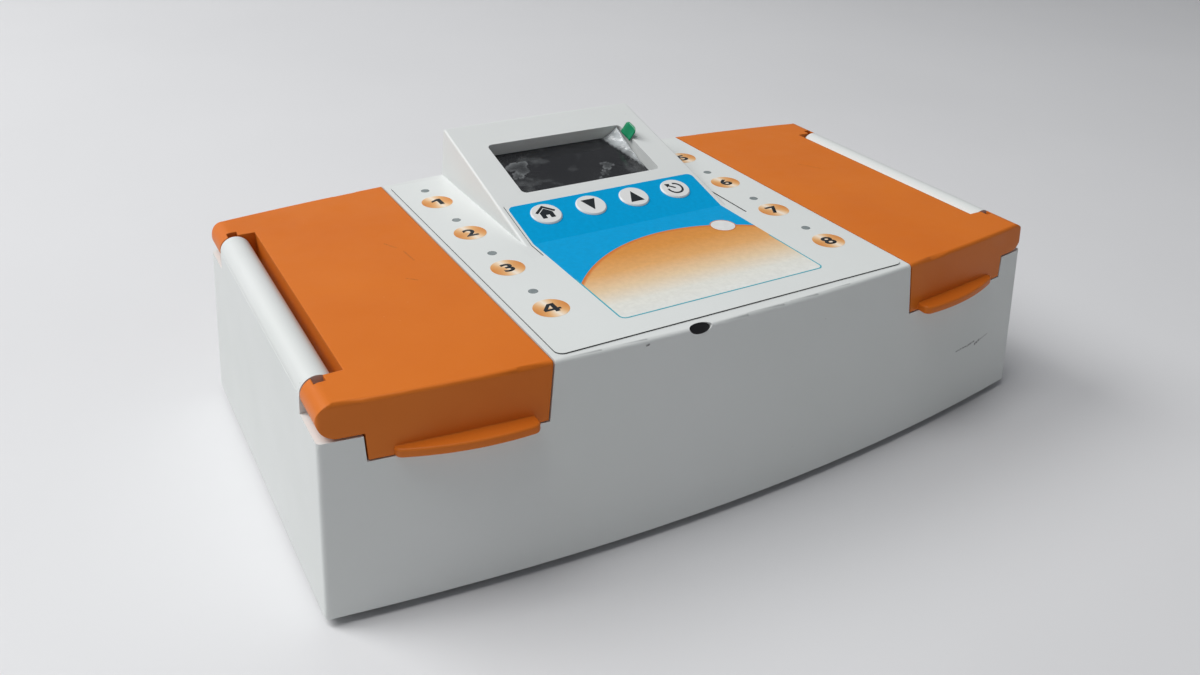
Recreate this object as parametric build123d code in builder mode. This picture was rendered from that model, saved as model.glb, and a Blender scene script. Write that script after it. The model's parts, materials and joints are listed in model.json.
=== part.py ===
from build123d import *
import os
from math import cos, radians, sin, sqrt, tan

# Benchtop incubator for small vials, in millimetres.
# X runs along the front from left to right, Y to the back and Z up.
# The origin is on the table, under the middle of the casing.

# Casing
body_width = 266.0          # bottom edge, end to end
body_depth = 134.0          # bottom edge, at the corners
face_bow = 11.0             # how far the front and the back bulge in the middle
shell_height = 64.5         # bottom edge to deck
foot_height = 3.0
body_draft = 5.2            # lean of every outside wall, in degrees
wall = 2.5
corner_radius = 1.6
rim_radius = 1.2

# Hood of the display
hood_slope = 14.3           # degrees
hood_draft = 3.0            # lean of its sides, in degrees
hood_radius = 0.9
ridge_flat = 0.06           # flat strip along the top, on top of the rounding

# Display window in the slope
window_width = 56.7
window_height = 31.4
window_gap = 14.0           # from the keys' row up to the window
window_back = 13.77         # from the window up to the ridge
window_radius = 2.0
window_depth = 5.0          # slope to glass
window_rim = 1.5

# Lids
side_panel = 24.8           # hood to the lid's inner edge, at the deck
lid_edge_lean = 7.1         # lean of the inner edge, in degrees
skirt_depth = 17.4          # deck to the bottom of the skirt
skirt_inset = 16.9          # casing's end to the outer end of the skirt
lid_gap = 0.5
shelf_gap = 0.7             # below the ears
lid_wall = 2.5
lid_top = 3.0

# Hinges
ear_radius = 4.85
ear_relief = 0.05           # ears and barrels stand this far inside the end wall
ear_length = 15.1
barrel_gap = 0.6            # between a barrel's end and an ear
notch_gap = 2.1             # between a barrel's side and the lid
pin_diameter = 2.5
pin_grip = 7.9              # how far a pin reaches into each ear
pin_clearance = 0.05        # radial
pin_eye_diameter = 3.7      # counterbore in a barrel's end
pin_eye_depth = 0.8
pin_slot_width = 3.2        # open slot in each ear that shows the pin
pin_slot_length = 3.0
pin_end_gap = 0.3           # between a pin's end and the bottom of its bore

# Finger tab on the front of each lid
tab_start = 5.9             # from the lid's inner edge
tab_end = 6.5               # from the outer end of the skirt
tab_inner_reach = 4.55      # how far the tab's edge stands out of the face
tab_middle_reach = 5.2
tab_outer_reach = 1.85
tab_thickness = 2.8
tab_drop = 0.3              # below the skirt
tab_corner = 2.2
tab_round = 0.7
tab_root = 5.0              # how far behind the face the tab begins

# Film on the deck and on the slope
film_thickness = 0.4
film_side = 2.3             # to the lids, and to the hood's sides
film_front = 4.63           # to the middle of the deck's front edge
film_back = 3.5             # to the deck's back edge
film_corner = 2.5
film_notch_run = 8.9        # in front of the slope
tongue_side = 2.0           # tongue to the hood's side
tongue_length = 22.0        # up the slope

# Keys
key_diameter = 11.1
key_side = 12.2             # from the tongue's side to the outer keys
key_up_slope = 13.7
key_rise = 0.6              # above the film
key_clearance = 0.2         # radial, in casing and film
key_travel = 0.4
key_lip = 1.1               # how far the retaining lip reaches out
key_lip_thickness = 1.0
key_lip_play = 0.1          # between the lip and the casing
key_stem_diameter = 4.0
key_round = 0.4
keypad_depth = 9.0          # slope to the keypad board
keypad_width = 14.0
switch_size = 6.0
switch_height = 3.1
switch_button_diameter = 3.4
switch_button_height = 0.5
switch_gap = 0.1            # between a pressed stem and its switch
keypad_post_shift = 4.5     # up the slope from the keys

# Status windows and their boards
window_inset = 12.7         # from the lid's inner edge to the row of status windows
pipe_diameter = 3.0
pipe_flange_diameter = 4.6
pipe_flange_thickness = 1.0
pipe_clearance = 0.05
pipe_gap = 0.2              # above its light
led_offset = 11.8           # each window lies this far behind its well
led_board_depth = 9.0       # deck to the top of the board
led_board_width = 11.0
led_board_overhang = 7.0
led_size = 3.0
led_height = 1.2
led_post_diameter = 4.6

# Heated wells
well_count = 4
well_row_y = 0.8            # middle of each row
well_inset = 22.7           # from the lid's inner edge to the row of wells
well_diameter = 10.2
well_mouth = 0.8            # countersink of each well
block_width = 24.0
floor_thickness = 4.0       # plate that closes the wells from below
block_inset = 10.0          # from the casing's corners to the block's ends
block_margin = 12.75        # from the last well's centre to the block's end
block_rise = 0.95           # above the bay floor
block_radius = 2.0
flange_length = 8.0
flange_width = 12.0
flange_thickness = 4.0
flange_depth = 9.5          # block top to flange top
block_screw_diameter = 3.0
block_boss_diameter = 6.0
heater_thickness = 1.0
heater_margin = 1.5
jacket_wall = 4.0
jacket_gap = 0.3
jacket_drop = 0.4           # top of the foam below the screw heads
seal_width = 1.4
seal_clearance = 0.1
seal_rise = 0.25            # above the bay floor
sensor_diameter = 3.0
sensor_length = 26.0
sensor_offset = 8.4         # from the row of wells
sensor_height = 9.0         # above the block's bottom
sensor_tail = 3.2
sensor_clearance = 0.1
sensor_end_gap = 0.5

# Foam under the lids
pad_thickness = 3.0
pad_radius = 4.0
pad_side = 2.7              # to the lid's walls
pad_end = 1.0               # shorter than the block, at each end

# Base
base_thickness = 2.5
base_clearance = 0.3
foot_diameter = 13.0
foot_clearance = 0.2
foot_taper = 8.0            # degrees
foot_inset_x = 35.0
foot_inset_y = 17.0
boss_diameter = 8.0
boss_gap = 3.2              # to the jacket of the heater block
boss_inset_y = 19.0
boss_inner_offset = 1.3     # from the lid's inner edge
base_screw_diameter = 3.0
base_screw_length = 12.0
base_screw_head = 5.6
base_screw_head_height = 0.9
screw_clearance = 0.05      # radial, round each thread
screw_head_height = 1.8
screw_seat_gap = 0.2
base_recess = 1.0           # pockets of the screw heads and the feet
rib_width = 2.0
rib_spacing = 18.0
base_rib = 2.05             # height of the ribs that carry the heater blocks' jackets

# Main board
board_side = 6.6            # to the bosses beside it
board_inset_y = 17.0        # from the casing's corners
board_height = 11.0         # underside, above the table
board_thickness = 1.6
board_post_diameter = 6.0
board_post_inset = 5.0
board_screw_diameter = 2.5
board_screw_grip = 4.5
processor_x = -18.0
processor_run = 12.3        # in front of the keypad's socket
processor_size = 14.0
processor_height = 1.6
display_socket_run = 32.6   # behind the foot of the slope
keypad_socket_x = -27.0
keypad_socket_run = 16.4    # behind the foot of the slope
heater_socket_inset = 6.0   # from the board's sides
heater_socket_run = 28.0    # from the board's front edge
heater_socket_length = 12.0
capacitor_xs = (18.0, 29.0, 40.0)
capacitor_run = 10.3        # in front of the keypad's socket
capacitor_diameter = 8.0
capacitor_height = 12.0
driver_xs = (-33.0, -20.0, 20.0, 33.0)
driver_run = 12.0           # from the board's front edge
driver_width = 10.0
driver_depth = 4.5
driver_height = 14.0
driver_tab = 1.3
driver_tab_height = 6.0
sounder_run = 30.0          # from the board's front edge
sounder_diameter = 12.0
sounder_height = 8.0

# Display module
glass_overlap_x = 2.65      # glass beyond the window, at each side
glass_overlap_y = 2.3       # and above and below it
glass_thickness = 2.2
frame_border = 1.4
frame_clearance = 0.1
backlight_thickness = 1.6
display_depth = 9.0         # slope to the display's board
display_board_edge = 3.5    # board beyond the glass, above and below
display_post_inset = 3.0    # from those edges of the board
display_post_diameter = 3.6
post_gap = 0.3              # between the display's frame and the posts
post_edge = 1.9             # board beyond the posts, at each side
post_wall_gap = 1.6         # between the posts and the hood's wall
small_screw_diameter = 1.8
small_screw_head = 1.1
small_screw_grip = 4.5
frame_corner = 1.0
display_plug = 31.0         # distance up the slope of the plug on the display's board

# Power inlet in the back wall
jack_height = 22.0
jack_bore = 5.6
jack_depth = 9.5
jack_pin = 2.0
jack_barrel = 8.0
jack_flange = 11.0
jack_flange_thickness = 1.5
jack_nut = 12.0
jack_nut_thickness = 2.0
jack_pocket = 16.0
jack_pocket_depth = 4.2     # from the bulge of the bottom edge
jack_pad_seat = 1.2         # how far the pad reaches into the wall
jack_clearance = 0.1
jack_stub = 0.2             # barrel beyond its nut
jack_body = 9.0
jack_body_length = 8.0

# Oval insert in the front top edge
oval_x = -19.2
oval_width = 7.6
oval_height = 3.4
oval_sink = 1.7             # from the sharp edge to its face
oval_thickness = 1.3
oval_clearance = 0.1

# Protective film on the display, with its lifted corner and its tab
sheet_thickness = 0.15
sheet_margin = 0.35         # to the window's walls
crease_inset = 7.0          # where the crease meets the top edge
crease_drop = 22.0          # where it meets the right edge
corner_lift = 4.3
corner_pull = 0.8           # how far the lifted corner comes back
pull_tab_width = 7.0
pull_tab_height = 5.3
pull_tab_thickness = 0.3
pull_tab_lean = 23.0        # degrees
pull_tab_inset = 0.8        # from the film's edge
pull_tab_drop = 6.45        # from the film's far edge
pull_tab_foot = 0.8         # below the slope

# Cables between the boards
cable_thickness = 0.9
display_cable_width = 24.0
keypad_cable_width = 9.0
cable_slack = 3.0
cable_gap = 0.2
socket_height = 8.0
socket_depth = 5.0
plug_height = 3.0

# Overlap of forms that are moulded in one, and room beyond a cut
weld = 0.5
through = 1.0
screw_end_gap = 0.5         # between a screw's tip and the bottom of its hole

# Worked out from the above: casing
half_width = body_width / 2
half_depth = body_depth / 2
deck_z = foot_height + shell_height
lean = tan(radians(body_draft))
bow_radius = (half_width**2 + face_bow**2) / (2 * face_bow)


def face_reach(x, z):
    """Distance of the bowed front or back face from the middle plane, at x and at height z."""
    bow = bow_radius - sqrt(bow_radius**2 - x**2)
    return half_depth + face_bow - bow - (z - foot_height) * lean


# Display and hood: the hood is as wide as the display and as long as what its slope holds
window_start = key_up_slope + window_gap
window_mid = window_start + window_height / 2
glass_width = window_width + 2 * glass_overlap_x
glass_height = window_height + 2 * glass_overlap_y
frame_width = glass_width + 2 * (frame_clearance + frame_border)
frame_height = glass_height + 2 * (frame_clearance + frame_border)
display_post_x = frame_width / 2 + post_gap + display_post_diameter / 2
panel_board_width = 2 * (display_post_x + post_edge)
display_board_height = glass_height + 2 * display_board_edge
display_post_pitch = display_board_height - 2 * display_post_inset
hood_half = display_post_x + display_post_diameter / 2 + post_wall_gap + wall
hood_run = cos(radians(hood_slope))
hood_drop = sin(radians(hood_slope))
slope_length = window_start + window_height + window_back
hood_height = slope_length * hood_drop
ridge_y = face_reach(hood_half, deck_z + hood_height) - hood_radius - ridge_flat
hood_front_y = ridge_y - slope_length * hood_run
slope = Plane(origin=(0, hood_front_y, deck_z), x_dir=(1, 0, 0), z_dir=(0, -hood_drop, hood_run))

# Lids and hinges
lid_edge_x = hood_half + side_panel
lid_lean = tan(radians(lid_edge_lean))
skirt_x = half_width - skirt_inset
skirt_z = deck_z - skirt_depth
bay_floor = skirt_z - lid_gap
bay_underside = bay_floor - wall
deck_underside = deck_z - wall
hinge_z = deck_z - ear_radius
hinge_x = half_width - (hinge_z - foot_height) * lean - ear_radius / cos(radians(body_draft)) - ear_relief
shelf_z = hinge_z - ear_radius - shelf_gap
notch_x = hinge_x - ear_radius - notch_gap
notch_y = face_reach(hinge_x, hinge_z) - ear_length
barrel_length = 2 * (notch_y - barrel_gap)
pin_length = 2 * (notch_y + pin_grip)
tab_top = skirt_z - tab_drop + tab_thickness
tab_edge = [
    (x, -face_reach(x, tab_top) - reach)
    for x, reach in (
        (lid_edge_x + tab_start, tab_inner_reach),
        ((lid_edge_x + tab_start + skirt_x - tab_end) / 2, tab_middle_reach),
        (skirt_x - tab_end, tab_outer_reach),
    )
]
tab_root_y = -face_reach(skirt_x - tab_end, tab_top) + tab_root

# Film and keys
film_half_width = lid_edge_x - film_side
film_front_y = -face_reach(0, deck_z) + film_front
film_back_y = face_reach(film_half_width, deck_z) - film_back
film_notch_half_width = hood_half + film_side
film_notch_y = hood_front_y - film_notch_run
tongue_half_width = hood_half - tongue_side
key_pitch = 2 * (tongue_half_width - key_side) / 3
key_xs = [(i - 1.5) * key_pitch for i in range(4)]
key_stem = keypad_depth - switch_height - switch_button_height - switch_gap - key_travel
key_stem -= wall + key_lip_play + key_lip_thickness

# Heater blocks, their jackets and the wells
well_x = lid_edge_x + well_inset
block_length = body_depth - 2 * block_inset
well_pitch = (block_length - 2 * block_margin) / (well_count - 1)
well_ys = [well_row_y + (i - (well_count - 1) / 2) * well_pitch for i in range(well_count)]
block_top = bay_floor + block_rise
jacket_bottom = foot_height + base_thickness + base_rib
heater_bottom = jacket_bottom + jacket_wall
floor_bottom = heater_bottom + heater_thickness
block_bottom = floor_bottom + floor_thickness
well_depth = block_top - block_bottom
seal_space = seal_width + 2 * seal_clearance
block_end = block_length / 2 + seal_space + block_boss_diameter / 2
flange_top = block_top - flange_depth
flange_bottom = flange_top - flange_thickness
jacket_top = flange_bottom - screw_head_height - jacket_drop
pad_inner_x = lid_edge_x + lid_wall + pad_side
pad_outer_x = notch_x - lid_wall - pad_side

# Status windows
window_x = lid_edge_x - window_inset
led_board_top = deck_z - led_board_depth
led_board_length = (well_count - 1) * well_pitch + 2 * led_board_overhang
led_row_y = well_row_y + led_offset
pipe_places = [(side * window_x, y + led_offset) for side in (-1, 1) for y in reversed(well_ys)]

# Base and main board
base_top = foot_height + base_thickness
foot_x = half_width - foot_inset_x
foot_y = half_depth - foot_inset_y
boss_end_x = well_x + block_width / 2 + jacket_gap + jacket_wall + boss_gap + boss_diameter / 2
boss_end_y = half_depth - boss_inset_y
boss_inner_x = lid_edge_x + boss_inner_offset
board_length = 2 * (boss_inner_x - boss_diameter / 2 - board_side)
board_depth = body_depth - 2 * board_inset_y
board_top = board_height + board_thickness
board_front_y = -board_depth / 2
board_posts = [
    (x * (board_length / 2 - board_post_inset), y * (board_depth / 2 - board_post_inset))
    for x in (-1, 1)
    for y in (-1, 1)
]
feet = [(x * foot_x, y * foot_y) for x in (-1, 1) for y in (-1, 1)]
display_socket = (0, hood_front_y + display_socket_run)
keypad_socket = (keypad_socket_x, hood_front_y + keypad_socket_run)
processor_place = (processor_x, keypad_socket[1] - processor_run)
capacitor_places = [(x, keypad_socket[1] - capacitor_run) for x in capacitor_xs]
heater_sockets = [
    (side * (board_length / 2 - heater_socket_inset), board_front_y + heater_socket_run) for side in (-1, 1)
]
driver_places = [(x, board_front_y + driver_run) for x in driver_xs]
sounder_place = (0, board_front_y + sounder_run)
socket_top = board_top + socket_height
jack_face_y = half_depth + face_bow - jack_pocket_depth
oval_plane = Plane(
    origin=(oval_x, -face_reach(oval_x, deck_z), deck_z), x_dir=(1, 0, 0), z_dir=(0, -1, 1)
)


def edge_x(z, shift):
    """Slanted inner edge of a lid at height z, moved towards the middle by shift."""
    return lid_edge_x + (deck_z - z) * lid_lean - shift


def body_form(height, inset=0.0):
    """Block with the bowed outline and the draft of the casing, set in by inset all round."""
    with BuildPart() as form:
        with BuildSketch(Plane.XY.offset(foot_height)):
            with BuildLine():
                front = ThreePointArc(
                    (-half_width, -half_depth), (0, -half_depth - face_bow), (half_width, -half_depth)
                )
                right = Line(front @ 1, (half_width, half_depth))
                back = ThreePointArc(right @ 1, (0, half_depth + face_bow), (-half_width, half_depth))
                Line(back @ 1, front @ 0)
            make_face()
            if inset:
                offset(amount=-inset, kind=Kind.INTERSECTION)
        extrude(amount=height, taper=body_draft)
    return form.part


def bay_outline(grow):
    """Section across the right bay: the lid's space, grown by a wall where that is asked for."""
    top = deck_z + through + grow
    floor = bay_floor - grow
    step = skirt_x + lid_gap + grow
    return [
        (edge_x(top, lid_gap + grow), top),
        (edge_x(floor, lid_gap + grow), floor),
        (step, floor),
        (step, shelf_z - grow),
        (body_width, shelf_z - grow),
        (body_width, top),
    ]


def bay_space(grow):
    """Space of both bays, right through from front to back."""
    with BuildPart() as space:
        with BuildSketch(Plane.XZ):
            with BuildLine():
                Polyline(*bay_outline(grow), close=True)
            make_face()
            mirror(about=Plane.YZ)
        extrude(amount=body_depth, both=True)
    return space.part


def hood_form(inset=0.0):
    """Wedge of the hood, reaching a little below the deck; its back is the casing's own back."""
    low = deck_z - wall - 2 * through
    high = deck_z + hood_height - inset
    side = tan(radians(hood_draft))
    half = hood_half - inset
    with BuildPart() as form:
        add(body_form(high - foot_height, inset))
        with BuildSketch(Plane.XZ):
            with BuildLine():
                Polyline(
                    (-half - (deck_z - low) * side, low),
                    (half + (deck_z - low) * side, low),
                    (half - (high - deck_z) * side, high),
                    (-half + (high - deck_z) * side, high),
                    close=True,
                )
            make_face()
        extrude(amount=body_depth, both=True, mode=Mode.INTERSECT)
        split(bisect_by=slope.offset(-inset), keep=Keep.BOTTOM)
    return form.part


# Outside of the casing: drafted block with softened corners and rim.
with BuildPart() as body_block:
    add(body_form(shell_height))
    corners = [edge for edge in body_block.edges() if base_top < edge.center().Z < deck_underside]
    fillet(corners, corner_radius)
    fillet(body_block.edges().group_by(Axis.Z)[-1], rim_radius)

# Hood with softened edges along the slope, the sides and the top.
with BuildPart() as hood_block:
    add(hood_form())
    upper = [edge for edge in hood_block.edges() if edge.center().Z > deck_z + through]
    fillet(upper, hood_radius)

# Barrels of the hinges: half-round along the top of each end wall.
with BuildPart() as barrels:
    add(body_form(shell_height))
    with BuildSketch(Plane.XZ):
        with Locations((hinge_x, hinge_z)):
            Circle(ear_radius)
        with BuildLine():
            Polyline(
                (hinge_x - ear_radius, hinge_z),
                (body_width, hinge_z),
                (body_width, shelf_z - wall),
                (hinge_x - ear_radius, shelf_z - wall),
                close=True,
            )
        make_face()
        mirror(about=Plane.YZ)
    extrude(amount=barrel_length / 2, both=True, mode=Mode.INTERSECT)

# Everything hollow inside the casing.
with BuildPart() as casing_void:
    add(body_form(shell_height - wall, wall))
    add(bay_space(wall), mode=Mode.SUBTRACT)
    add(hood_form(wall))

block_bosses = [(side * well_x, well_row_y + end * block_end) for side in (-1, 1) for end in (-1, 1)]
base_bosses = [(side * boss_end_x, end * boss_end_y) for side in (-1, 1) for end in (-1, 1)]
base_bosses += [(side * boss_inner_x, 0) for side in (-1, 1)]
led_posts = [
    (side * window_x, led_row_y + (i - 1) * well_pitch) for side in (-1, 1) for i in (0, 2)
]
keypad_posts = [(side * display_post_x, key_up_slope + keypad_post_shift) for side in (-1, 1)]
display_posts = [
    (side * display_post_x, window_mid + end * display_post_pitch / 2) for side in (-1, 1) for end in (-1, 1)
]

with BuildPart() as housing_shell:
    add(body_block.part)
    add(bay_space(0), mode=Mode.SUBTRACT)
    add(hood_block.part)
    add(barrels.part)
    add(casing_void.part, mode=Mode.SUBTRACT)
    # Rim round the display window, hanging from the slope.
    with BuildSketch(slope.offset(-window_depth)):
        with Locations((0, window_mid)):
            RectangleRounded(
                window_width + 2 * window_rim, window_height + 2 * window_rim, window_radius + window_rim
            )
    extrude(amount=window_depth - wall + weld)
    with BuildSketch(slope.offset(-window_depth)):
        with Locations((0, window_mid)):
            RectangleRounded(window_width, window_height, window_radius)
    extrude(amount=window_depth + through, mode=Mode.SUBTRACT)
    # Posts for the display and the keypad, with blind screw holes.
    for posts, depth in ((display_posts, display_depth), (keypad_posts, keypad_depth)):
        with BuildSketch(slope.offset(-depth)):
            with Locations(*posts):
                Circle(display_post_diameter / 2)
        extrude(amount=depth - wall + weld)
        with BuildSketch(slope.offset(-depth)):
            with Locations(*posts):
                Circle(small_screw_diameter / 2 + screw_clearance)
        extrude(amount=depth - wall, mode=Mode.SUBTRACT)
    # Holes for the keys.
    with BuildSketch(slope):
        with Locations(*[(x, key_up_slope) for x in key_xs]):
            Circle(key_diameter / 2 + key_clearance)
    extrude(amount=-wall - through, mode=Mode.SUBTRACT)
    # Posts for the boards of the status lights.
    with BuildSketch(Plane.XY.offset(led_board_top)):
        with Locations(*led_posts):
            Circle(led_post_diameter / 2)
    extrude(amount=led_board_depth - wall + weld)
    with BuildSketch(Plane.XY.offset(led_board_top)):
        with Locations(*led_posts):
            Circle(small_screw_diameter / 2 + screw_clearance)
    extrude(amount=led_board_depth - wall, mode=Mode.SUBTRACT)
    # Holes for the light pipes.
    with BuildSketch(Plane.XY.offset(deck_z)):
        with Locations(*pipe_places):
            Circle(pipe_diameter / 2 + pipe_clearance)
    extrude(amount=-wall, mode=Mode.SUBTRACT)
    # Openings in the bay floors for the heater blocks, and the bosses that carry the blocks.
    with BuildSketch(Plane.XY.offset(bay_floor)):
        with Locations((-well_x, well_row_y), (well_x, well_row_y)):
            RectangleRounded(
                block_width + 2 * seal_space,
                block_length + 2 * seal_space,
                block_radius + seal_width,
            )
    extrude(amount=-wall, mode=Mode.SUBTRACT)
    with BuildSketch(Plane.XY.offset(flange_top)):
        with Locations(*block_bosses):
            Circle(block_boss_diameter / 2)
    extrude(amount=bay_underside - flange_top + weld)
    with BuildSketch(Plane.XY.offset(flange_top)):
        with Locations(*block_bosses):
            Circle(block_screw_diameter / 2 + screw_clearance)
    extrude(amount=bay_underside - flange_top, mode=Mode.SUBTRACT)
    # Bosses that the base is screwed to.
    with BuildSketch(Plane.XY.offset(base_top)):
        with Locations(*base_bosses):
            Circle(boss_diameter / 2)
    extrude(amount=bay_underside - base_top + weld)
    with BuildSketch(Plane.XY.offset(base_top)):
        with Locations(*base_bosses):
            Circle(base_screw_diameter / 2 + screw_clearance)
    extrude(amount=base_screw_length, mode=Mode.SUBTRACT)
    # Bores of the hinge barrels, with an eye at each end.
    with Locations((-hinge_x, 0, hinge_z), (hinge_x, 0, hinge_z)):
        Cylinder(
            pin_diameter / 2 + pin_clearance, barrel_length + through, rotation=(90, 0, 0), mode=Mode.SUBTRACT
        )
    with Locations(
        *[(side * hinge_x, end * barrel_length / 2, hinge_z) for side in (-1, 1) for end in (-1, 1)]
    ):
        Cylinder(pin_eye_diameter / 2, 2 * pin_eye_depth, rotation=(90, 0, 0), mode=Mode.SUBTRACT)
    # Pad, round pocket and hole for the power inlet in the back wall.
    with BuildSketch(Plane.XZ.offset(-jack_face_y + wall)):
        with Locations((0, jack_height)):
            Circle(jack_pocket / 2 + wall)
    extrude(amount=-wall - jack_pad_seat)
    with BuildSketch(Plane.XZ.offset(-jack_face_y)):
        with Locations((0, jack_height)):
            Circle(jack_pocket / 2)
    extrude(amount=-2 * jack_pocket_depth, mode=Mode.SUBTRACT)
    with Locations((0, jack_face_y, jack_height)):
        Cylinder(jack_barrel / 2 + jack_clearance, 6 * wall, rotation=(90, 0, 0), mode=Mode.SUBTRACT)
    # Oval pocket across the front top edge.
    with BuildSketch(oval_plane.offset(-oval_sink - oval_thickness)):
        Ellipse(oval_width / 2, oval_height / 2)
    extrude(amount=oval_sink + oval_thickness + through, mode=Mode.SUBTRACT)


# Space inside the right lid, below its top plate.
with BuildPart() as lid_hollow:
    add(body_form(shell_height - lid_top, lid_wall))
    with BuildSketch(Plane.XZ):
        with BuildLine():
            Polyline(
                (edge_x(deck_z, -lid_wall), deck_z),
                (edge_x(skirt_z - through, -lid_wall), skirt_z - through),
                (notch_x - lid_wall, skirt_z - through),
                (notch_x - lid_wall, deck_z),
                close=True,
            )
        make_face()
    extrude(amount=body_depth, both=True, mode=Mode.INTERSECT)

# Finger tab: a crescent with softened edges at the foot of the front skirt.
with BuildPart() as finger_tab:
    with BuildSketch(Plane.XY.offset(skirt_z - tab_drop)) as tab_outline:
        with BuildLine():
            edge = ThreePointArc(*tab_edge)
            Polyline(edge @ 1, (tab_edge[2][0], tab_root_y), (tab_edge[0][0], tab_root_y), edge @ 0)
        make_face()
        fillet([corner for corner in tab_outline.vertices() if corner.Y < tab_root_y - through], tab_corner)
    extrude(amount=tab_thickness)
    rims = [edge for edge in finger_tab.edges() if edge.center().Y < tab_root_y - through]
    fillet([edge for edge in rims if edge.length > tab_thickness + through / 10], tab_round)

# Right lid: the casing's own outline cut to the lid's section, with ears, barrel notch,
# pin slots and finger tab.
with BuildPart() as right_lid:
    add(body_block.part)
    with BuildSketch(Plane.XZ):
        with BuildLine():
            Polyline(
                (hinge_x, deck_z),
                (hinge_x, deck_z + through),
                (edge_x(deck_z + through, 0), deck_z + through),
                (edge_x(skirt_z, 0), skirt_z),
                (skirt_x, skirt_z),
                (skirt_x, hinge_z - ear_radius),
                (hinge_x, hinge_z - ear_radius),
            )
            ThreePointArc(
                (hinge_x, hinge_z - ear_radius), (hinge_x + ear_radius, hinge_z), (hinge_x, deck_z)
            )
        make_face()
    extrude(amount=body_depth, both=True, mode=Mode.INTERSECT)
    add(finger_tab.part)
    add(lid_hollow.part, mode=Mode.SUBTRACT)
    # Notch that the barrel lies in.
    with BuildSketch(Plane.XY.offset(skirt_z - through)):
        with Locations((notch_x, 0)):
            Rectangle(body_width, 2 * notch_y, align=(Align.MIN, Align.CENTER))
    extrude(amount=skirt_depth + 2 * through, mode=Mode.SUBTRACT)
    # Blind bores for the pin, and the open slots beside the barrel.
    with Locations((hinge_x, 0, hinge_z)):
        Cylinder(
            pin_diameter / 2 + pin_clearance,
            pin_length + 2 * pin_end_gap,
            rotation=(90, 0, 0),
            mode=Mode.SUBTRACT,
        )
    with Locations(*[(hinge_x, end * (notch_y + pin_slot_length / 2), hinge_z) for end in (-1, 1)]):
        Box(
            pin_slot_width,
            pin_slot_length,
            2 * ear_radius,
            align=(Align.CENTER, Align.CENTER, Align.MIN),
            mode=Mode.SUBTRACT,
        )

# Hinge pin, from ear to ear through the barrel.
with BuildPart() as right_hinge_pin:
    with Locations((hinge_x, 0, hinge_z)):
        Cylinder(pin_diameter / 2, pin_length, rotation=(90, 0, 0))
    chamfer(right_hinge_pin.edges().filter_by(GeomType.CIRCLE), pin_diameter / 10)

# Foam pad glued under the top plate of the lid.
with BuildPart() as right_lid_pad:
    with BuildSketch(Plane.XY.offset(deck_z - lid_top - pad_thickness)):
        with Locations(((pad_inner_x + pad_outer_x) / 2, well_row_y)):
            RectangleRounded(pad_outer_x - pad_inner_x, block_length - 2 * pad_end, pad_radius)
    extrude(amount=pad_thickness)

# Aluminium block with four wells bored through, an end flange at the front and the back, and a probe bore.
with BuildPart() as right_heater_block:
    with BuildSketch(Plane.XY.offset(block_bottom)):
        with Locations((well_x, well_row_y)):
            RectangleRounded(block_width, block_length, block_radius)
    extrude(amount=well_depth)
    with BuildSketch(Plane.XY.offset(flange_bottom)):
        with Locations((well_x, well_row_y)):
            RectangleRounded(flange_width, block_length + 2 * flange_length, block_radius)
    extrude(amount=flange_thickness)
    with Locations(*[(well_x, y, block_top) for y in well_ys]):
        CounterSinkHole(
            radius=well_diameter / 2,
            counter_sink_radius=well_diameter / 2 + well_mouth,
            depth=well_depth,
            counter_sink_angle=90,
        )
    with Locations(*[(well_x, well_row_y + end * block_end, flange_top) for end in (-1, 1)]):
        Hole(block_screw_diameter / 2 + 2 * screw_clearance, depth=flange_thickness)
    with Locations(Plane.XZ.offset(block_length / 2 - well_row_y)):
        with Locations((well_x - sensor_offset, block_bottom + sensor_height)):
            Hole(sensor_diameter / 2 + sensor_clearance, depth=sensor_length)

# Screws that hang the block from the bosses of the casing.
with BuildPart() as right_block_screws:
    for place in [(well_x, well_row_y + end * block_end) for end in (-1, 1)]:
        with BuildSketch(Plane.XY.offset(flange_bottom)):
            with Locations(place):
                Circle(block_screw_diameter)
        extrude(amount=-screw_head_height)
        with BuildSketch(Plane.XY.offset(flange_bottom)):
            with Locations(place):
                Circle(block_screw_diameter / 2)
        extrude(amount=flange_thickness + bay_underside - flange_top - screw_end_gap)

# Floor plates: one under each block, closing its wells and spreading the heat.
with BuildPart() as well_floors:
    with BuildSketch(Plane.XY.offset(block_bottom)):
        with Locations((-well_x, well_row_y), (well_x, well_row_y)):
            RectangleRounded(block_width, block_length, block_radius)
    extrude(amount=-floor_thickness)

# Flat silicone heater under the floor plate.
with BuildPart() as right_heater_mat:
    with BuildSketch(Plane.XY.offset(heater_bottom)):
        with Locations((well_x, well_row_y)):
            RectangleRounded(block_width - 2 * heater_margin, block_length - 2 * heater_margin, block_radius)
    extrude(amount=heater_thickness)

# Foam jacket: a tray round the block and below it.
with BuildPart() as right_insulation:
    with BuildSketch(Plane.XY.offset(jacket_bottom)):
        with Locations((well_x, well_row_y)):
            RectangleRounded(
                block_width + 2 * (jacket_gap + jacket_wall),
                block_length + 2 * (jacket_gap + jacket_wall),
                block_radius + jacket_wall,
            )
    extrude(amount=jacket_top - jacket_bottom)
    with BuildSketch(Plane.XY.offset(jacket_bottom + jacket_wall)):
        with Locations((well_x, well_row_y)):
            RectangleRounded(
                block_width + 2 * jacket_gap, block_length + 2 * jacket_gap, block_radius + jacket_gap
            )
    extrude(amount=jacket_top, mode=Mode.SUBTRACT)
    with Locations((well_x - sensor_offset, well_row_y - block_length / 2, block_bottom + sensor_height)):
        Cylinder(
            sensor_diameter / 2 + 2 * sensor_clearance, 4 * jacket_wall, rotation=(90, 0, 0),
            mode=Mode.SUBTRACT,
        )

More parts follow.
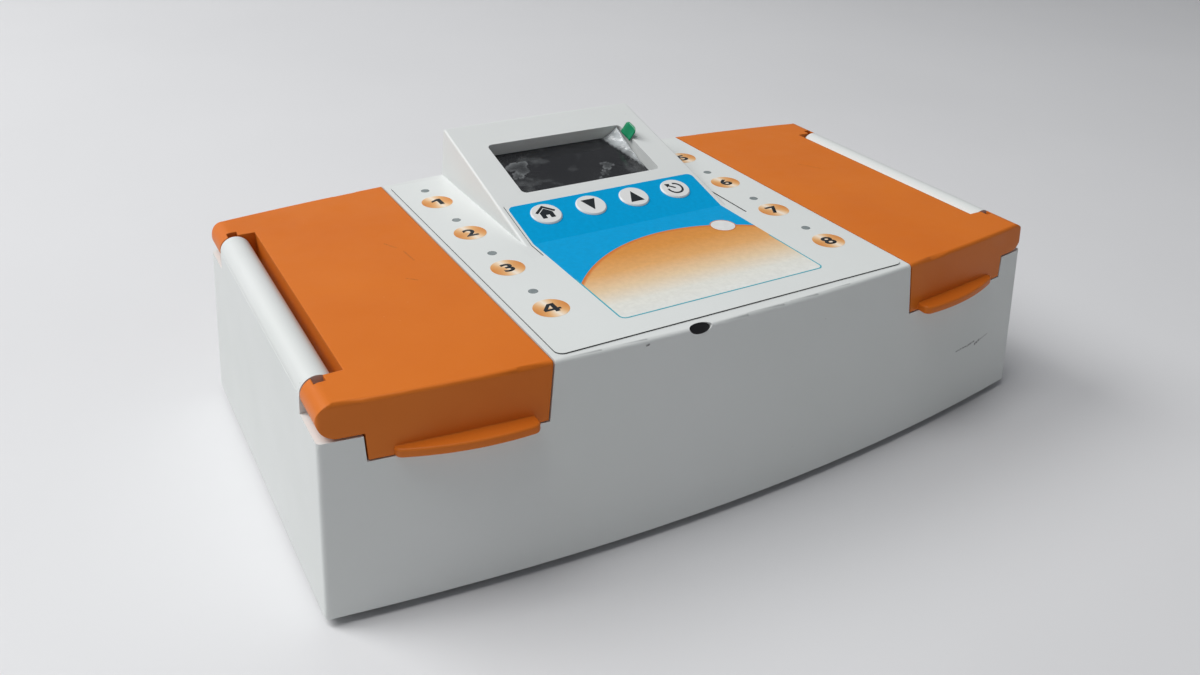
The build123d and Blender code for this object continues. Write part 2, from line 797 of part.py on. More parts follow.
# Soft ring between the block and the opening in the bay floor.
with BuildPart() as right_block_seal:
    with BuildSketch(Plane.XY.offset(bay_underside)):
        with Locations((well_x, well_row_y)):
            RectangleRounded(
                block_width + 2 * (seal_width + seal_clearance),
                block_length + 2 * (seal_width + seal_clearance),
                block_radius + seal_width,
            )
            RectangleRounded(
                block_width + 2 * seal_clearance,
                block_length + 2 * seal_clearance,
                block_radius + seal_clearance,
                mode=Mode.SUBTRACT,
            )
    extrude(amount=wall + seal_rise)

# Temperature probe, with its sleeve standing out of the jacket.
with BuildPart() as right_block_sensor:
    with BuildSketch(Plane.XZ.offset(block_length / 2 - well_row_y + jacket_wall + sensor_tail)):
        with Locations((well_x - sensor_offset, block_bottom + sensor_height)):
            Circle(sensor_diameter / 2)
    extrude(amount=-(jacket_wall + sensor_tail + sensor_length - sensor_end_gap))

# Printed film: its sheet on the deck, notched beside the hood, and its tongue up the slope.
with BuildPart() as graphic_overlay:
    with BuildSketch(Plane.XY.offset(deck_z)) as deck_sheet:
        with Locations((0, (film_front_y + film_back_y) / 2)):
            RectangleRounded(2 * film_half_width, film_back_y - film_front_y, film_corner)
        with Locations((0, film_notch_y)):
            Rectangle(
                2 * film_notch_half_width, body_depth, align=(Align.CENTER, Align.MIN), mode=Mode.SUBTRACT
            )
        with Locations((0, film_notch_y)):
            Rectangle(
                2 * tongue_half_width, hood_front_y - film_notch_y, align=(Align.CENTER, Align.MIN)
            )
        with Locations(*pipe_places):
            Circle(pipe_diameter / 2 + pipe_clearance, mode=Mode.SUBTRACT)
    extrude(amount=film_thickness)
    with BuildSketch(slope):
        Rectangle(2 * tongue_half_width, tongue_length, align=(Align.CENTER, Align.MIN))
        with Locations(*[(x, key_up_slope) for x in key_xs]):
            Circle(key_diameter / 2 + key_clearance, mode=Mode.SUBTRACT)
    extrude(amount=film_thickness)

# Light pipes: one for each well, from the film down to its light, with a flange below the deck.
light_pipes = []
for place in pipe_places:
    with BuildPart() as light_pipe:
        with BuildSketch(Plane.XY.offset(led_board_top + led_height + pipe_gap)):
            with Locations(place):
                Circle(pipe_diameter / 2)
        extrude(amount=deck_z + film_thickness - led_board_top - led_height - pipe_gap)
        with BuildSketch(Plane.XY.offset(deck_underside)):
            with Locations(place):
                Circle(pipe_flange_diameter / 2)
        extrude(amount=-pipe_flange_thickness)
    light_pipes.append(light_pipe)

# Boards of the status lights, screwed below the deck, and the eight lights on them.
with BuildPart() as right_led_board:
    with BuildSketch(Plane.XY.offset(led_board_top)):
        with Locations((window_x, led_row_y)):
            Rectangle(led_board_width, led_board_length)
        with Locations(*led_posts[2:]):
            Circle(small_screw_diameter / 2 + 2 * screw_clearance, mode=Mode.SUBTRACT)
    extrude(amount=-board_thickness)

with BuildPart() as status_leds:
    with BuildSketch(Plane.XY.offset(led_board_top)):
        with Locations(*pipe_places):
            Rectangle(led_size, led_size)
    extrude(amount=led_height)

# Keys: a round cap through film and casing, a lip that keeps it in, and a stem to its switch.
keys = []
for x in key_xs:
    with BuildPart() as key:
        with BuildSketch(slope.offset(-wall - key_lip_play)):
            with Locations((x, key_up_slope)):
                Circle(key_diameter / 2)
        extrude(amount=wall + key_lip_play + film_thickness + key_rise)
        chamfer(key.edges().sort_by(Axis.Z)[-1], key_round)
        with BuildSketch(slope.offset(-wall - key_lip_play)):
            with Locations((x, key_up_slope)):
                Circle(key_diameter / 2 + key_lip)
        extrude(amount=-key_lip_thickness)
        with BuildSketch(slope.offset(-wall - key_lip_play - key_lip_thickness)):
            with Locations((x, key_up_slope)):
                Circle(key_stem_diameter / 2)
        extrude(amount=-key_stem)
    keys.append(key)

# Keypad board with its four switches.
with BuildPart() as keypad_board:
    with BuildSketch(slope.offset(-keypad_depth)):
        with Locations((0, key_up_slope)):
            Rectangle(panel_board_width, keypad_width)
        with Locations(*keypad_posts):
            Circle(small_screw_diameter / 2 + 2 * screw_clearance, mode=Mode.SUBTRACT)
    extrude(amount=-board_thickness)

with BuildPart() as tact_switches:
    with BuildSketch(slope.offset(-keypad_depth)):
        with Locations(*[(x, key_up_slope) for x in key_xs]):
            Rectangle(switch_size, switch_size)
    extrude(amount=switch_height)
    with BuildSketch(slope.offset(-keypad_depth + switch_height)):
        with Locations(*[(x, key_up_slope) for x in key_xs]):
            Circle(switch_button_diameter / 2)
    extrude(amount=switch_button_height)

# Display: glass behind the window, backlight, metal frame and board.
with BuildPart() as display_glass:
    with BuildSketch(slope.offset(-window_depth)):
        with Locations((0, window_mid)):
            RectangleRounded(glass_width, glass_height, frame_corner)
    extrude(amount=-glass_thickness)

with BuildPart() as display_backlight:
    with BuildSketch(slope.offset(-window_depth - glass_thickness)):
        with Locations((0, window_mid)):
            RectangleRounded(glass_width, glass_height, frame_corner)
    extrude(amount=-backlight_thickness)

with BuildPart() as display_frame:
    with BuildSketch(slope.offset(-display_depth)):
        with Locations((0, window_mid)):
            RectangleRounded(frame_width, frame_height, frame_corner + frame_border)
            RectangleRounded(
                glass_width + 2 * frame_clearance,
                glass_height + 2 * frame_clearance,
                frame_corner + frame_clearance,
                mode=Mode.SUBTRACT,
            )
    extrude(amount=display_depth - window_depth)

with BuildPart() as display_board:
    with BuildSketch(slope.offset(-display_depth)):
        with Locations((0, window_mid)):
            Rectangle(panel_board_width, display_board_height)
        with Locations(*display_posts):
            Circle(small_screw_diameter / 2 + 2 * screw_clearance, mode=Mode.SUBTRACT)
    extrude(amount=-board_thickness)
    with BuildSketch(slope.offset(-display_depth - board_thickness)):
        with Locations((0, display_plug)):
            Rectangle(display_cable_width, socket_depth)
    extrude(amount=-plug_height)

# Small screws of the display, the keypad and the boards of the status lights.
with BuildPart() as panel_screws:
    for face, places in (
        (slope.offset(-display_depth - board_thickness), display_posts),
        (slope.offset(-keypad_depth - board_thickness), keypad_posts),
        (Plane.XY.offset(led_board_top - board_thickness), led_posts),
    ):
        with BuildSketch(face):
            with Locations(*places):
                Circle(small_screw_diameter)
        extrude(amount=-small_screw_head)
        with BuildSketch(face):
            with Locations(*places):
                Circle(small_screw_diameter / 2)
        extrude(amount=board_thickness + small_screw_grip)

# Protective film: flat on the glass, with its back right corner lifted along a crease.
glass_plane = slope.offset(-window_depth)
sheet_x = window_width / 2 - sheet_margin
sheet_low = window_start + sheet_margin
sheet_high = window_start + window_height - sheet_margin
crease_top = glass_plane.from_local_coords(Vector(sheet_x - crease_inset, sheet_high, 0))
crease_side = glass_plane.from_local_coords(Vector(sheet_x, sheet_high - crease_drop, 0))
lifted_corner = glass_plane.from_local_coords(Vector(sheet_x - corner_pull, sheet_high - 1, corner_lift))
with BuildPart() as protective_film:
    with BuildSketch(glass_plane):
        with Locations((0, window_mid)):
            RectangleRounded(2 * sheet_x, sheet_high - sheet_low, window_radius)
        with BuildLine():
            Polyline(
                (sheet_x - crease_inset, sheet_high),
                (sheet_x, sheet_high - crease_drop),
                (sheet_x, sheet_high),
                close=True,
            )
        make_face(mode=Mode.SUBTRACT)
    extrude(amount=sheet_thickness)
    flap_normal = (crease_side - crease_top).cross(lifted_corner - crease_top)
    flap_plane = Plane(origin=crease_top, x_dir=crease_side - crease_top, z_dir=flap_normal)
    flap_points = [flap_plane.to_local_coords(p) for p in (crease_top, crease_side, lifted_corner)]
    with BuildSketch(flap_plane):
        with BuildLine():
            Polyline(*[(p.X, p.Y) for p in flap_points], close=True)
        make_face()
    extrude(amount=sheet_thickness)

# Green tab that stands on the film's lifted edge.
with BuildPart() as pull_tab:
    tab_lean = radians(pull_tab_lean)
    tab_foot = slope.from_local_coords(
        Vector(sheet_x - pull_tab_inset, sheet_high - pull_tab_drop, -pull_tab_foot)
    )
    tab_up = slope.z_dir * cos(tab_lean) + slope.x_dir * sin(tab_lean)
    tab_plane = Plane(origin=tab_foot, x_dir=slope.y_dir, z_dir=slope.y_dir.cross(tab_up))
    with BuildSketch(tab_plane):
        with Locations((0, pull_tab_height / 2)):
            RectangleRounded(pull_tab_width, pull_tab_height, pull_tab_height / 5)
    extrude(amount=pull_tab_thickness)

# Oval insert in the pocket across the front top edge.
with BuildPart() as edge_window:
    with BuildSketch(oval_plane.offset(-oval_sink)):
        Ellipse(oval_width / 2 - oval_clearance, oval_height / 2 - oval_clearance)
    extrude(amount=-oval_thickness)

# Base: a plate inside the foot of the casing, with screw holes, foot pockets, posts and ribs.
with BuildPart() as base_plate:
    add(body_form(base_thickness, wall + base_clearance))
    with BuildSketch(Plane.XY.offset(base_top)):
        with Locations(*board_posts):
            Circle(board_post_diameter / 2)
        with Locations(
            *[(side * well_x + end * rib_spacing / 2, well_row_y) for side in (-1, 1) for end in (-1, 1)]
        ):
            Rectangle(rib_width, block_length)
    extrude(amount=board_height - base_top)
    with BuildSketch(Plane.XY.offset(jacket_bottom)):
        with Locations((-well_x, well_row_y), (well_x, well_row_y)):
            Rectangle(rib_spacing + 2 * rib_width, block_length + through)
    extrude(amount=board_height, mode=Mode.SUBTRACT)
    with BuildSketch(Plane.XY.offset(board_height)):
        with Locations(*board_posts):
            Circle(board_screw_diameter / 2 + screw_clearance)
    extrude(amount=-board_screw_grip, mode=Mode.SUBTRACT)
    with BuildSketch(Plane.XY.offset(foot_height)):
        with Locations(*base_bosses):
            Circle(base_screw_head / 2 + screw_seat_gap)
        with Locations(*feet):
            Circle(foot_diameter / 2 + foot_clearance)
    extrude(amount=base_recess, mode=Mode.SUBTRACT)
    with BuildSketch(Plane.XY.offset(foot_height)):
        with Locations(*base_bosses):
            Circle(base_screw_diameter / 2 + 2 * screw_clearance)
    extrude(amount=base_thickness, mode=Mode.SUBTRACT)

with BuildPart() as base_screws:
    with BuildSketch(Plane.XY.offset(foot_height + base_recess)):
        with Locations(*base_bosses):
            Circle(base_screw_head / 2)
    extrude(amount=-base_screw_head_height)
    with BuildSketch(Plane.XY.offset(foot_height + base_recess)):
        with Locations(*base_bosses):
            Circle(base_screw_diameter / 2)
    extrude(amount=base_thickness - base_recess + base_screw_length - screw_end_gap)
    with BuildSketch(Plane.XY.offset(foot_height + base_recess - base_screw_head_height)):
        with Locations(*base_bosses):
            RegularPolygon(base_screw_head / 4, 6)
    extrude(amount=base_screw_head_height * 0.6, mode=Mode.SUBTRACT)

with BuildPart() as rubber_feet:
    with BuildSketch(Plane.XY.offset(foot_height + base_recess)):
        with Locations(*feet):
            Circle(foot_diameter / 2)
    extrude(amount=-foot_height - base_recess, taper=foot_taper)

# Main board on the posts of the base, and what stands on it.
with BuildPart() as main_board:
    with BuildSketch(Plane.XY.offset(board_height)):
        Rectangle(board_length, board_depth)
        with Locations(*board_posts):
            Circle(board_screw_diameter / 2 + 2 * screw_clearance, mode=Mode.SUBTRACT)
    extrude(amount=board_thickness)

with BuildPart() as board_screws:
    with BuildSketch(Plane.XY.offset(board_top)):
        with Locations(*board_posts):
            Circle(board_screw_diameter)
    extrude(amount=screw_head_height)
    with BuildSketch(Plane.XY.offset(board_top)):
        with Locations(*board_posts):
            Circle(board_screw_diameter / 2)
    extrude(amount=-board_thickness - board_screw_grip + screw_end_gap)

with BuildPart() as main_processor:
    with BuildSketch(Plane.XY.offset(board_top)):
        with Locations(processor_place):
            Rectangle(processor_size, processor_size)
    extrude(amount=processor_height)
    chamfer(main_processor.edges().group_by(Axis.Z)[-1], processor_height / 4)

with BuildPart() as board_sockets:
    with BuildSketch(Plane.XY.offset(board_top)):
        with Locations(display_socket):
            Rectangle(display_cable_width, socket_depth)
        with Locations(keypad_socket):
            Rectangle(keypad_cable_width, socket_depth)
        with Locations(*heater_sockets):
            Rectangle(socket_depth, heater_socket_length)
    extrude(amount=socket_height)

with BuildPart() as capacitors:
    with BuildSketch(Plane.XY.offset(board_top)):
        with Locations(*capacitor_places):
            Circle(capacitor_diameter / 2)
    extrude(amount=capacitor_height)
    chamfer(capacitors.edges().group_by(Axis.Z)[-1], capacitor_diameter / 16)

with BuildPart() as heater_drivers:
    for place in driver_places:
        with BuildSketch(Plane.XY.offset(board_top)):
            with Locations(place):
                Rectangle(driver_width, driver_depth)
        extrude(amount=driver_height)
        with BuildSketch(Plane.XY.offset(board_top + driver_height)):
            with Locations(place):
                Rectangle(driver_width, driver_tab, align=(Align.CENTER, Align.MIN))
        extrude(amount=driver_tab_height)

with BuildPart() as sounder:
    with BuildSketch(Plane.XY.offset(board_top)):
        with Locations(sounder_place):
            Circle(sounder_diameter / 2)
    extrude(amount=sounder_height)
    with BuildSketch(Plane.XY.offset(board_top + sounder_height)):
        with Locations(sounder_place):
            Circle(sounder_diameter / 10)
    extrude(amount=-sounder_height / 2, mode=Mode.SUBTRACT)


plug_face = slope.offset(-display_depth - board_thickness - plug_height - cable_gap)
plug_point = plug_face.from_local_coords(Vector(0, display_plug, 0))
pad_face = slope.offset(-keypad_depth - board_thickness - cable_gap)
pad_point = pad_face.from_local_coords(Vector(0, key_up_slope, 0))


def ribbon(top, foot, width, x):
    """Flat cable from top down to foot, both given as (y, z), with a slack bend between them."""
    fall = (top[1] - foot[1]) / 4
    with BuildPart() as cable:
        with BuildSketch(Plane.YZ.offset(x - width / 2)):
            with BuildLine():
                FilletPolyline(
                    top,
                    (top[0], top[1] - fall),
                    (foot[0] - cable_slack, foot[1] + 2 * fall),
                    (foot[0], foot[1] + fall),
                    foot,
                    radius=cable_slack,
                )
            trace(line_width=cable_thickness)
        extrude(amount=width)
    return cable


display_cable = ribbon(
    (plug_point.Y, plug_point.Z - cable_thickness),
    (display_socket[1], socket_top + cable_gap),
    display_cable_width,
    display_socket[0],
)
keypad_cable = ribbon(
    (pad_point.Y, pad_point.Z - cable_thickness),
    (keypad_socket[1], socket_top + cable_gap),
    keypad_cable_width,
    keypad_socket[0],
)

# Power inlet: a threaded barrel with a flange inside the wall and a nut in the pocket.
with BuildPart() as dc_jack:
    inner_face = jack_face_y - wall
    for radius, start, length in (
        (jack_flange / 2, inner_face - jack_flange_thickness, jack_flange_thickness),
        (jack_barrel / 2, inner_face, wall + jack_nut_thickness + jack_stub),
        (jack_body / 2, inner_face - jack_flange_thickness - jack_body_length, jack_body_length),
    ):
        with BuildSketch(Plane.XZ.offset(-start)):
            with Locations((0, jack_height)):
                Circle(radius)
        extrude(amount=-length)
    mouth = Plane.XZ.offset(-inner_face - wall - jack_nut_thickness - jack_stub)
    with BuildSketch(mouth):
        with Locations((0, jack_height)):
            Circle(jack_bore / 2)
            Circle(jack_pin / 2, mode=Mode.SUBTRACT)
    extrude(amount=jack_depth, mode=Mode.SUBTRACT)

with BuildPart() as dc_jack_nut:
    with BuildSketch(Plane.XZ.offset(-jack_face_y)):
        with Locations((0, jack_height)):
            RegularPolygon(jack_nut / 2, 6)
            Circle(jack_barrel / 2 + jack_clearance / 2, mode=Mode.SUBTRACT)
    extrude(amount=-jack_nut_thickness)


def mirrored(piece):
    """The same piece for the left side."""
    with BuildPart() as twin:
        mirror(piece.part, about=Plane.YZ)
    return twin


pieces = {
    "housing_shell": housing_shell,
    "base_plate": base_plate,
    "base_screws": base_screws,
    "rubber_feet": rubber_feet,
    "graphic_overlay": graphic_overlay,
    "edge_window": edge_window,
    "status_leds": status_leds,
    "keypad_board": keypad_board,
    "tact_switches": tact_switches,
    "panel_screws": panel_screws,
    "keypad_cable": keypad_cable,
    "display_glass": display_glass,
    "display_backlight": display_backlight,
    "display_frame": display_frame,
    "display_board": display_board,
    "display_cable": display_cable,
    "protective_film": protective_film,
    "pull_tab": pull_tab,
    "well_floors": well_floors,
    "main_board": main_board,
    "board_screws": board_screws,
    "main_processor": main_processor,
    "board_sockets": board_sockets,
    "capacitors": capacitors,
    "heater_drivers": heater_drivers,
    "sounder": sounder,
    "dc_jack": dc_jack,
    "dc_jack_nut": dc_jack_nut,
}
for name, key in zip(("home_key", "down_key", "up_key", "return_key"), keys):
    pieces[name] = key
for number, light_pipe in enumerate(light_pipes, start=1):
    pieces[f"light_pipe_{number}"] = light_pipe
for name, piece in (
    ("lid", right_lid),
    ("hinge_pin", right_hinge_pin),
    ("lid_pad", right_lid_pad),
    ("heater_block", right_heater_block),
    ("block_screws", right_block_screws),
    ("heater_mat", right_heater_mat),
    ("insulation", right_insulation),
    ("block_seal", right_block_seal),
    ("block_sensor", right_block_sensor),
    ("led_board", right_led_board),
):
    pieces[f"right_{name}"] = piece
    pieces[f"left_{name}"] = mirrored(piece)

os.makedirs("parts", exist_ok=True)
for name, piece in pieces.items():
    piece.part.label = name
    export_step(piece.part, f"parts/{name}.step")
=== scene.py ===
import json
from math import atan2, cos, pi, radians, sin, tan

import bmesh
import bpy
from mathutils import Matrix, Vector


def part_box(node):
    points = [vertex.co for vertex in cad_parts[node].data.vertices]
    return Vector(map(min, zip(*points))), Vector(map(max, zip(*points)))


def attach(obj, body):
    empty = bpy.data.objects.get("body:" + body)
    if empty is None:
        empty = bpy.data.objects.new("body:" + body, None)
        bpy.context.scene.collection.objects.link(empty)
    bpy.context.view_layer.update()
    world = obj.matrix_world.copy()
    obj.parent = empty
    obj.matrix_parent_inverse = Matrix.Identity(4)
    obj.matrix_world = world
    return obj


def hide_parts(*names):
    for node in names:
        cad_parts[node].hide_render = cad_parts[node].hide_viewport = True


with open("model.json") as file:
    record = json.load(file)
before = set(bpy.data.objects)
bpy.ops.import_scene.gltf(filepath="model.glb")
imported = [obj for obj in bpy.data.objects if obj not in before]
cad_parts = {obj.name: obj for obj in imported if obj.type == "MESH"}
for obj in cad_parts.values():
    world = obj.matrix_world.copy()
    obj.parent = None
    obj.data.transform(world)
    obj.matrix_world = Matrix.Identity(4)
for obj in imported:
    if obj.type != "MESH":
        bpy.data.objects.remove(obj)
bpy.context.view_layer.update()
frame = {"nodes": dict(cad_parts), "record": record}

# Benchtop incubator: finishes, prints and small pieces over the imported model.
# Lengths are in metres. X runs from left to right, Y to the back and Z up.
nodes = frame["nodes"]
MM = 0.001

# Places that the pieces share with the model
DECK = 67.5 * MM
FILM = 0.4 * MM
HOOD_FRONT = -2.094 * MM
HOOD_SLOPE = radians(14.3)
PRINT = 0.03 * MM           # thickness of a print
CLEAR = 0.01 * MM           # between a print and what it lies on
KEY_TOP = 1.0 * MM          # above the slope
KEY_ROW = 13.7 * MM         # up the slope
KEY_PITCH = 17.5333 * MM
GLASS_DEPTH = 5.0 * MM      # below the slope
WINDOW_MIDDLE = 43.4 * MM   # up the slope
WINDOW_WIDTH = 56.7 * MM
WINDOW_HEIGHT = 31.4 * MM
BADGE_X = 52.6 * MM
WELLS_Y = [45.05 * MM, 15.55 * MM, -13.95 * MM, -43.45 * MM]

# The slope's own frame: x across, y up the slope and z out of it
SLOPE = Matrix((
    (1, 0, 0, 0),
    (0, cos(HOOD_SLOPE), -sin(HOOD_SLOPE), HOOD_FRONT),
    (0, sin(HOOD_SLOPE), cos(HOOD_SLOPE), DECK),
    (0, 0, 0, 1),
))


def colour(red, green, blue):
    """A colour as it shows on a screen, 0 to 255, made linear."""
    def linear(value):
        value /= 255
        return value / 12.92 if value <= 0.04045 else ((value + 0.055) / 1.055) ** 2.4
    return (linear(red), linear(green), linear(blue), 1.0)


class Finish:
    """One material: a principled shader and the nodes that vary it."""

    def __init__(self, name, base, roughness, **sockets):
        self.material = bpy.data.materials.new(name)
        self.material.use_nodes = True
        self.tree = self.material.node_tree
        self.shader = self.tree.nodes["Principled BSDF"]
        self.relief = None
        self.base = base
        self.place = self.add("TexCoord").outputs["Object"]
        self.feed(self.shader, "Base Color", base)
        self.feed(self.shader, "Roughness", roughness)
        for socket, value in sockets.items():
            self.feed(self.shader, socket.replace("_", " "), value)

    def feed(self, node, socket, value):
        if isinstance(value, bpy.types.NodeSocket):
            self.tree.links.new(value, node.inputs[socket])
        else:
            node.inputs[socket].default_value = value

    def add(self, kind, inputs=None, **settings):
        node = self.tree.nodes.new("ShaderNode" + kind)
        for setting, value in settings.items():
            setattr(node, setting, value)
        for socket, value in (inputs or {}).items():
            self.feed(node, socket, value)
        return node

    def noise(self, scale, detail=2.0, place=None):
        node = self.add("TexNoise", {"Vector": place or self.place, "Scale": scale, "Detail": detail})
        return node.outputs[0]

    def cells(self, scale):
        node = self.add("TexVoronoi", {"Vector": self.place, "Scale": scale})
        return node.outputs["Distance"]

    def stretch(self, scale, turn=(0, 0, 0)):
        node = self.add("Mapping", {"Vector": self.place, "Rotation": turn, "Scale": scale})
        return node.outputs[0]

    def calc(self, operation, *values):
        node = self.add("Math", operation=operation)
        for index, value in enumerate(values):
            self.feed(node, index, value)
        return node.outputs[0]

    def vector(self, operation, *values, out=0):
        node = self.add("VectorMath", operation=operation)
        for index, value in enumerate(values):
            self.feed(node, index, value)
        return node.outputs[out]

    def span(self, value, low, high, start=0.0, end=1.0):
        node = self.add("MapRange", {0: value, 1: low, 2: high, 3: start, 4: end})
        return node.outputs[0]

    def mix(self, share, first, second):
        node = self.add("Mix", {0: share, 6: first, 7: second}, data_type="RGBA")
        return node.outputs[2]

    def ramp(self, value, stops):
        node = self.add("ValToRGB", {0: value})
        node.color_ramp.elements[0].position = stops[0][0]
        node.color_ramp.elements[0].color = stops[0][1]
        node.color_ramp.elements[1].position = stops[-1][0]
        node.color_ramp.elements[1].color = stops[-1][1]
        for position, shade in stops[1:-1]:
            node.color_ramp.elements.new(position).color = shade
        return node.outputs[0]

    def paint(self, shade):
        self.base = shade
        self.feed(self.shader, "Base Color", shade)

    def bump(self, height, strength, depth):
        node = self.add("Bump", {"Height": height, "Strength": strength, "Distance": depth})
        if self.relief:
            self.feed(node, "Normal", self.relief)
        self.relief = node.outputs[0]
        self.feed(self.shader, "Normal", self.relief)

    def soft_edges(self, radius):
        """Shades sharp edges as if they were rounded, so that they catch the light."""
        self.relief = self.add("Bevel", {"Radius": radius}, samples=6).outputs[0]
        self.feed(self.shader, "Normal", self.relief)

    def stroke(self, start, end, width):
        """1 along a short straight mark between two points in millimetres, and 0 away from it."""
        start = Vector(start) * MM
        run = Vector(end) * MM - start
        offset = self.vector("SUBTRACT", self.place, start)
        along = self.span(self.vector("DOT_PRODUCT", offset, run, out=1), 0.0, run.length_squared)
        nearest = self.add("VectorMath", {0: run, 3: along}, operation="SCALE").outputs[0]
        distance = self.vector("LENGTH", self.vector("SUBTRACT", offset, nearest), out=1)
        return self.span(distance, width * MM * 0.35, width * MM, 1.0, 0.0)

    def marks(self, strokes, shade, strength):
        """Scuffs and scratches: the strokes, broken up by a fine noise."""
        mask = None
        for start, end, width in strokes:
            mark = self.stroke(start, end, width)
            mask = mark if mask is None else self.calc("MAXIMUM", mask, mark)
        broken = self.span(self.noise(1800.0, 3.0), 0.42, 0.62, 0.35, 1.0)
        share = self.calc("MULTIPLY", self.calc("MULTIPLY", mask, broken), strength)
        self.paint(self.mix(share, self.base, shade))


def shaded(base, factor):
    """The same colour, darker."""
    return tuple(channel * factor for channel in base[:3]) + (1.0,)


def moulded_white():
    """Casing: white moulded plastic with a fine spark-eroded texture, scuffs and handling marks."""
    base = (0.73, 0.748, 0.738, 1.0)
    finish = Finish("moulded_white", base, 0.44)
    finish.paint(finish.mix(finish.span(finish.noise(14.0, 4.0), 0.3, 0.7), base, (0.70, 0.725, 0.705, 1.0)))
    specks = finish.span(finish.cells(210.0), 0.02, 0.045, 1.0, 0.0)
    specks = finish.calc("MULTIPLY", specks, finish.span(finish.noise(35.0, 1.0), 0.60, 0.68))
    finish.paint(finish.mix(finish.calc("MULTIPLY", specks, 0.55), finish.base, (0.22, 0.21, 0.19, 1.0)))
    finish.marks(
        [
            ((97.0, -69.9, 26.2), (103.6, -69.2, 26.5), 0.42),
            ((103.4, -69.2, 26.4), (107.4, -68.8, 27.0), 0.55),
            ((108.2, -68.7, 25.6), (110.6, -68.4, 26.6), 0.75),
            ((111.6, -68.4, 26.8), (115.4, -67.9, 27.6), 0.60),
            ((-37.2, -71.5, 65.9), (-36.5, -71.5, 66.0), 0.45),
        ],
        (0.03, 0.03, 0.032, 1.0), 0.9,
    )
    finish.feed(finish.shader, "Roughness", finish.span(finish.noise(60.0, 3.0), 0.3, 0.7, 0.39, 0.50))
    finish.bump(finish.noise(2600.0, 2.0), 0.18, 0.00006)
    finish.bump(finish.noise(9.0, 1.0), 0.05, 0.0008)
    return finish.material


def moulded_orange():
    """Lids: satin orange plastic, a little cloudy, with pale specks and a few faint scratches."""
    base = (0.70, 0.182, 0.018, 1.0)
    finish = Finish("moulded_orange", base, 0.45, Specular_IOR_Level=0.22)
    finish.soft_edges(0.5 * MM)
    cloud = finish.span(finish.noise(22.0, 5.0), 0.3, 0.7)
    finish.paint(finish.mix(cloud, base, (0.655, 0.157, 0.013, 1.0)))
    specks = finish.span(finish.cells(260.0), 0.03, 0.06, 1.0, 0.0)
    specks = finish.calc("MULTIPLY", specks, finish.span(finish.noise(48.0, 1.0), 0.56, 0.64))
    finish.paint(finish.mix(finish.calc("MULTIPLY", specks, 0.35), finish.base, (0.84, 0.42, 0.20, 1.0)))
    finish.marks(
        [
            ((-80.6, 20.6, 67.5), (-78.3, 16.0, 67.5), 0.50),
            ((-77.0, 12.5, 67.5), (-76.4, 5.0, 67.5), 0.45),
            ((-83.0, -6.0, 67.5), (-80.4, -8.5, 67.5), 0.45),
            ((92.0, 20.0, 67.5), (97.0, 12.0, 67.5), 0.35),
        ],
        (0.30, 0.085, 0.022, 1.0), 0.45,
    )
    finish.feed(finish.shader, "Roughness", finish.span(finish.noise(75.0, 4.0), 0.3, 0.7, 0.36, 0.48))
    finish.bump(finish.noise(2400.0, 2.0), 0.16, 0.00006)
    return finish.material


def printed_film():
    """Film on the deck: a fine matt skin on top, and its sides painted near-black, as its dark cut edge and
    the shadow in the gap along it.
    """
    base = (0.745, 0.77, 0.755, 1.0)
    finish = Finish("printed_film", base, 0.36)
    finish.paint(finish.mix(finish.span(finish.noise(11.0, 3.0), 0.3, 0.7), base, (0.715, 0.74, 0.72, 1.0)))
    upright = finish.add("TexCoord").outputs["Normal"]
    height = finish.add("SeparateXYZ", {0: upright}).outputs["Z"]
    # Painted shadow: every face that does not face up is near-black, for the dark cut edge and the shadow in
    # the gap beside it.
    finish.paint(finish.mix(finish.span(height, 0.5, 0.6), (0.018, 0.022, 0.025, 1.0), finish.base))
    finish.bump(finish.noise(3200.0, 2.0), 0.12, 0.00004)
    return finish.material


def print_ink(name, base):
    """A flat print: one ink with the slight cloudiness of a screen print."""
    finish = Finish(name, base, 0.34, Specular_IOR_Level=0.2)
    finish.paint(finish.mix(finish.span(finish.noise(420.0, 3.0), 0.35, 0.65), base, shaded(base, 0.93)))
    finish.bump(finish.noise(3200.0, 2.0), 0.10, 0.00004)
    return finish.material


PANEL_FRONT = -58.7 * MM
OUTLINE_END = -30.5 * MM    # behind it the panel has no outline
DOME_MIDDLE = (6.8 * MM, -87.2 * MM)
DOME_RADII = (63.0 * MM, 75.0 * MM)
BLUE = (0.0, 0.335, 0.66, 1.0)


def panel_print():
    """The panel's print: blue above, and below it an orange dome that fades to white."""
    finish = Finish("panel_print", BLUE, 0.38, Specular_IOR_Level=0.08)
    parts = finish.add("SeparateXYZ", {0: finish.place}).outputs
    across = finish.calc("DIVIDE", finish.calc("SUBTRACT", parts["X"], DOME_MIDDLE[0]), DOME_RADII[0])
    along = finish.calc("DIVIDE", finish.calc("SUBTRACT", parts["Y"], DOME_MIDDLE[1]), DOME_RADII[1])
    across_squared = finish.calc("MULTIPLY", across, across)
    along_squared = finish.calc("MULTIPLY", along, along)
    reach = finish.calc("SQRT", finish.calc("ADD", across_squared, along_squared))
    fade = finish.ramp(
        finish.span(parts["Y"], PANEL_FRONT, -12.0 * MM),
        [
            (0.0, colour(224, 226, 222)),
            (0.18, colour(224, 223, 214)),
            (0.38, colour(226, 200, 164)),
            (0.58, colour(222, 168, 108)),
            (0.80, colour(215, 146, 72)),
            (1.0, colour(211, 136, 62)),
        ],
    )
    grain = finish.span(finish.noise(700.0, 2.0), 0.3, 0.7, 0.95, 1.03)
    inside = finish.mix(finish.span(reach, 0.978, 0.990), fade, colour(208, 122, 60))
    shade = finish.mix(finish.span(reach, 0.998, 1.000), inside, BLUE)
    bright = finish.add("VectorMath", {0: shade, 3: grain}, operation="SCALE").outputs[0]
    finish.paint(bright)
    finish.bump(finish.noise(3200.0, 2.0), 0.10, 0.00004)
    return finish.material


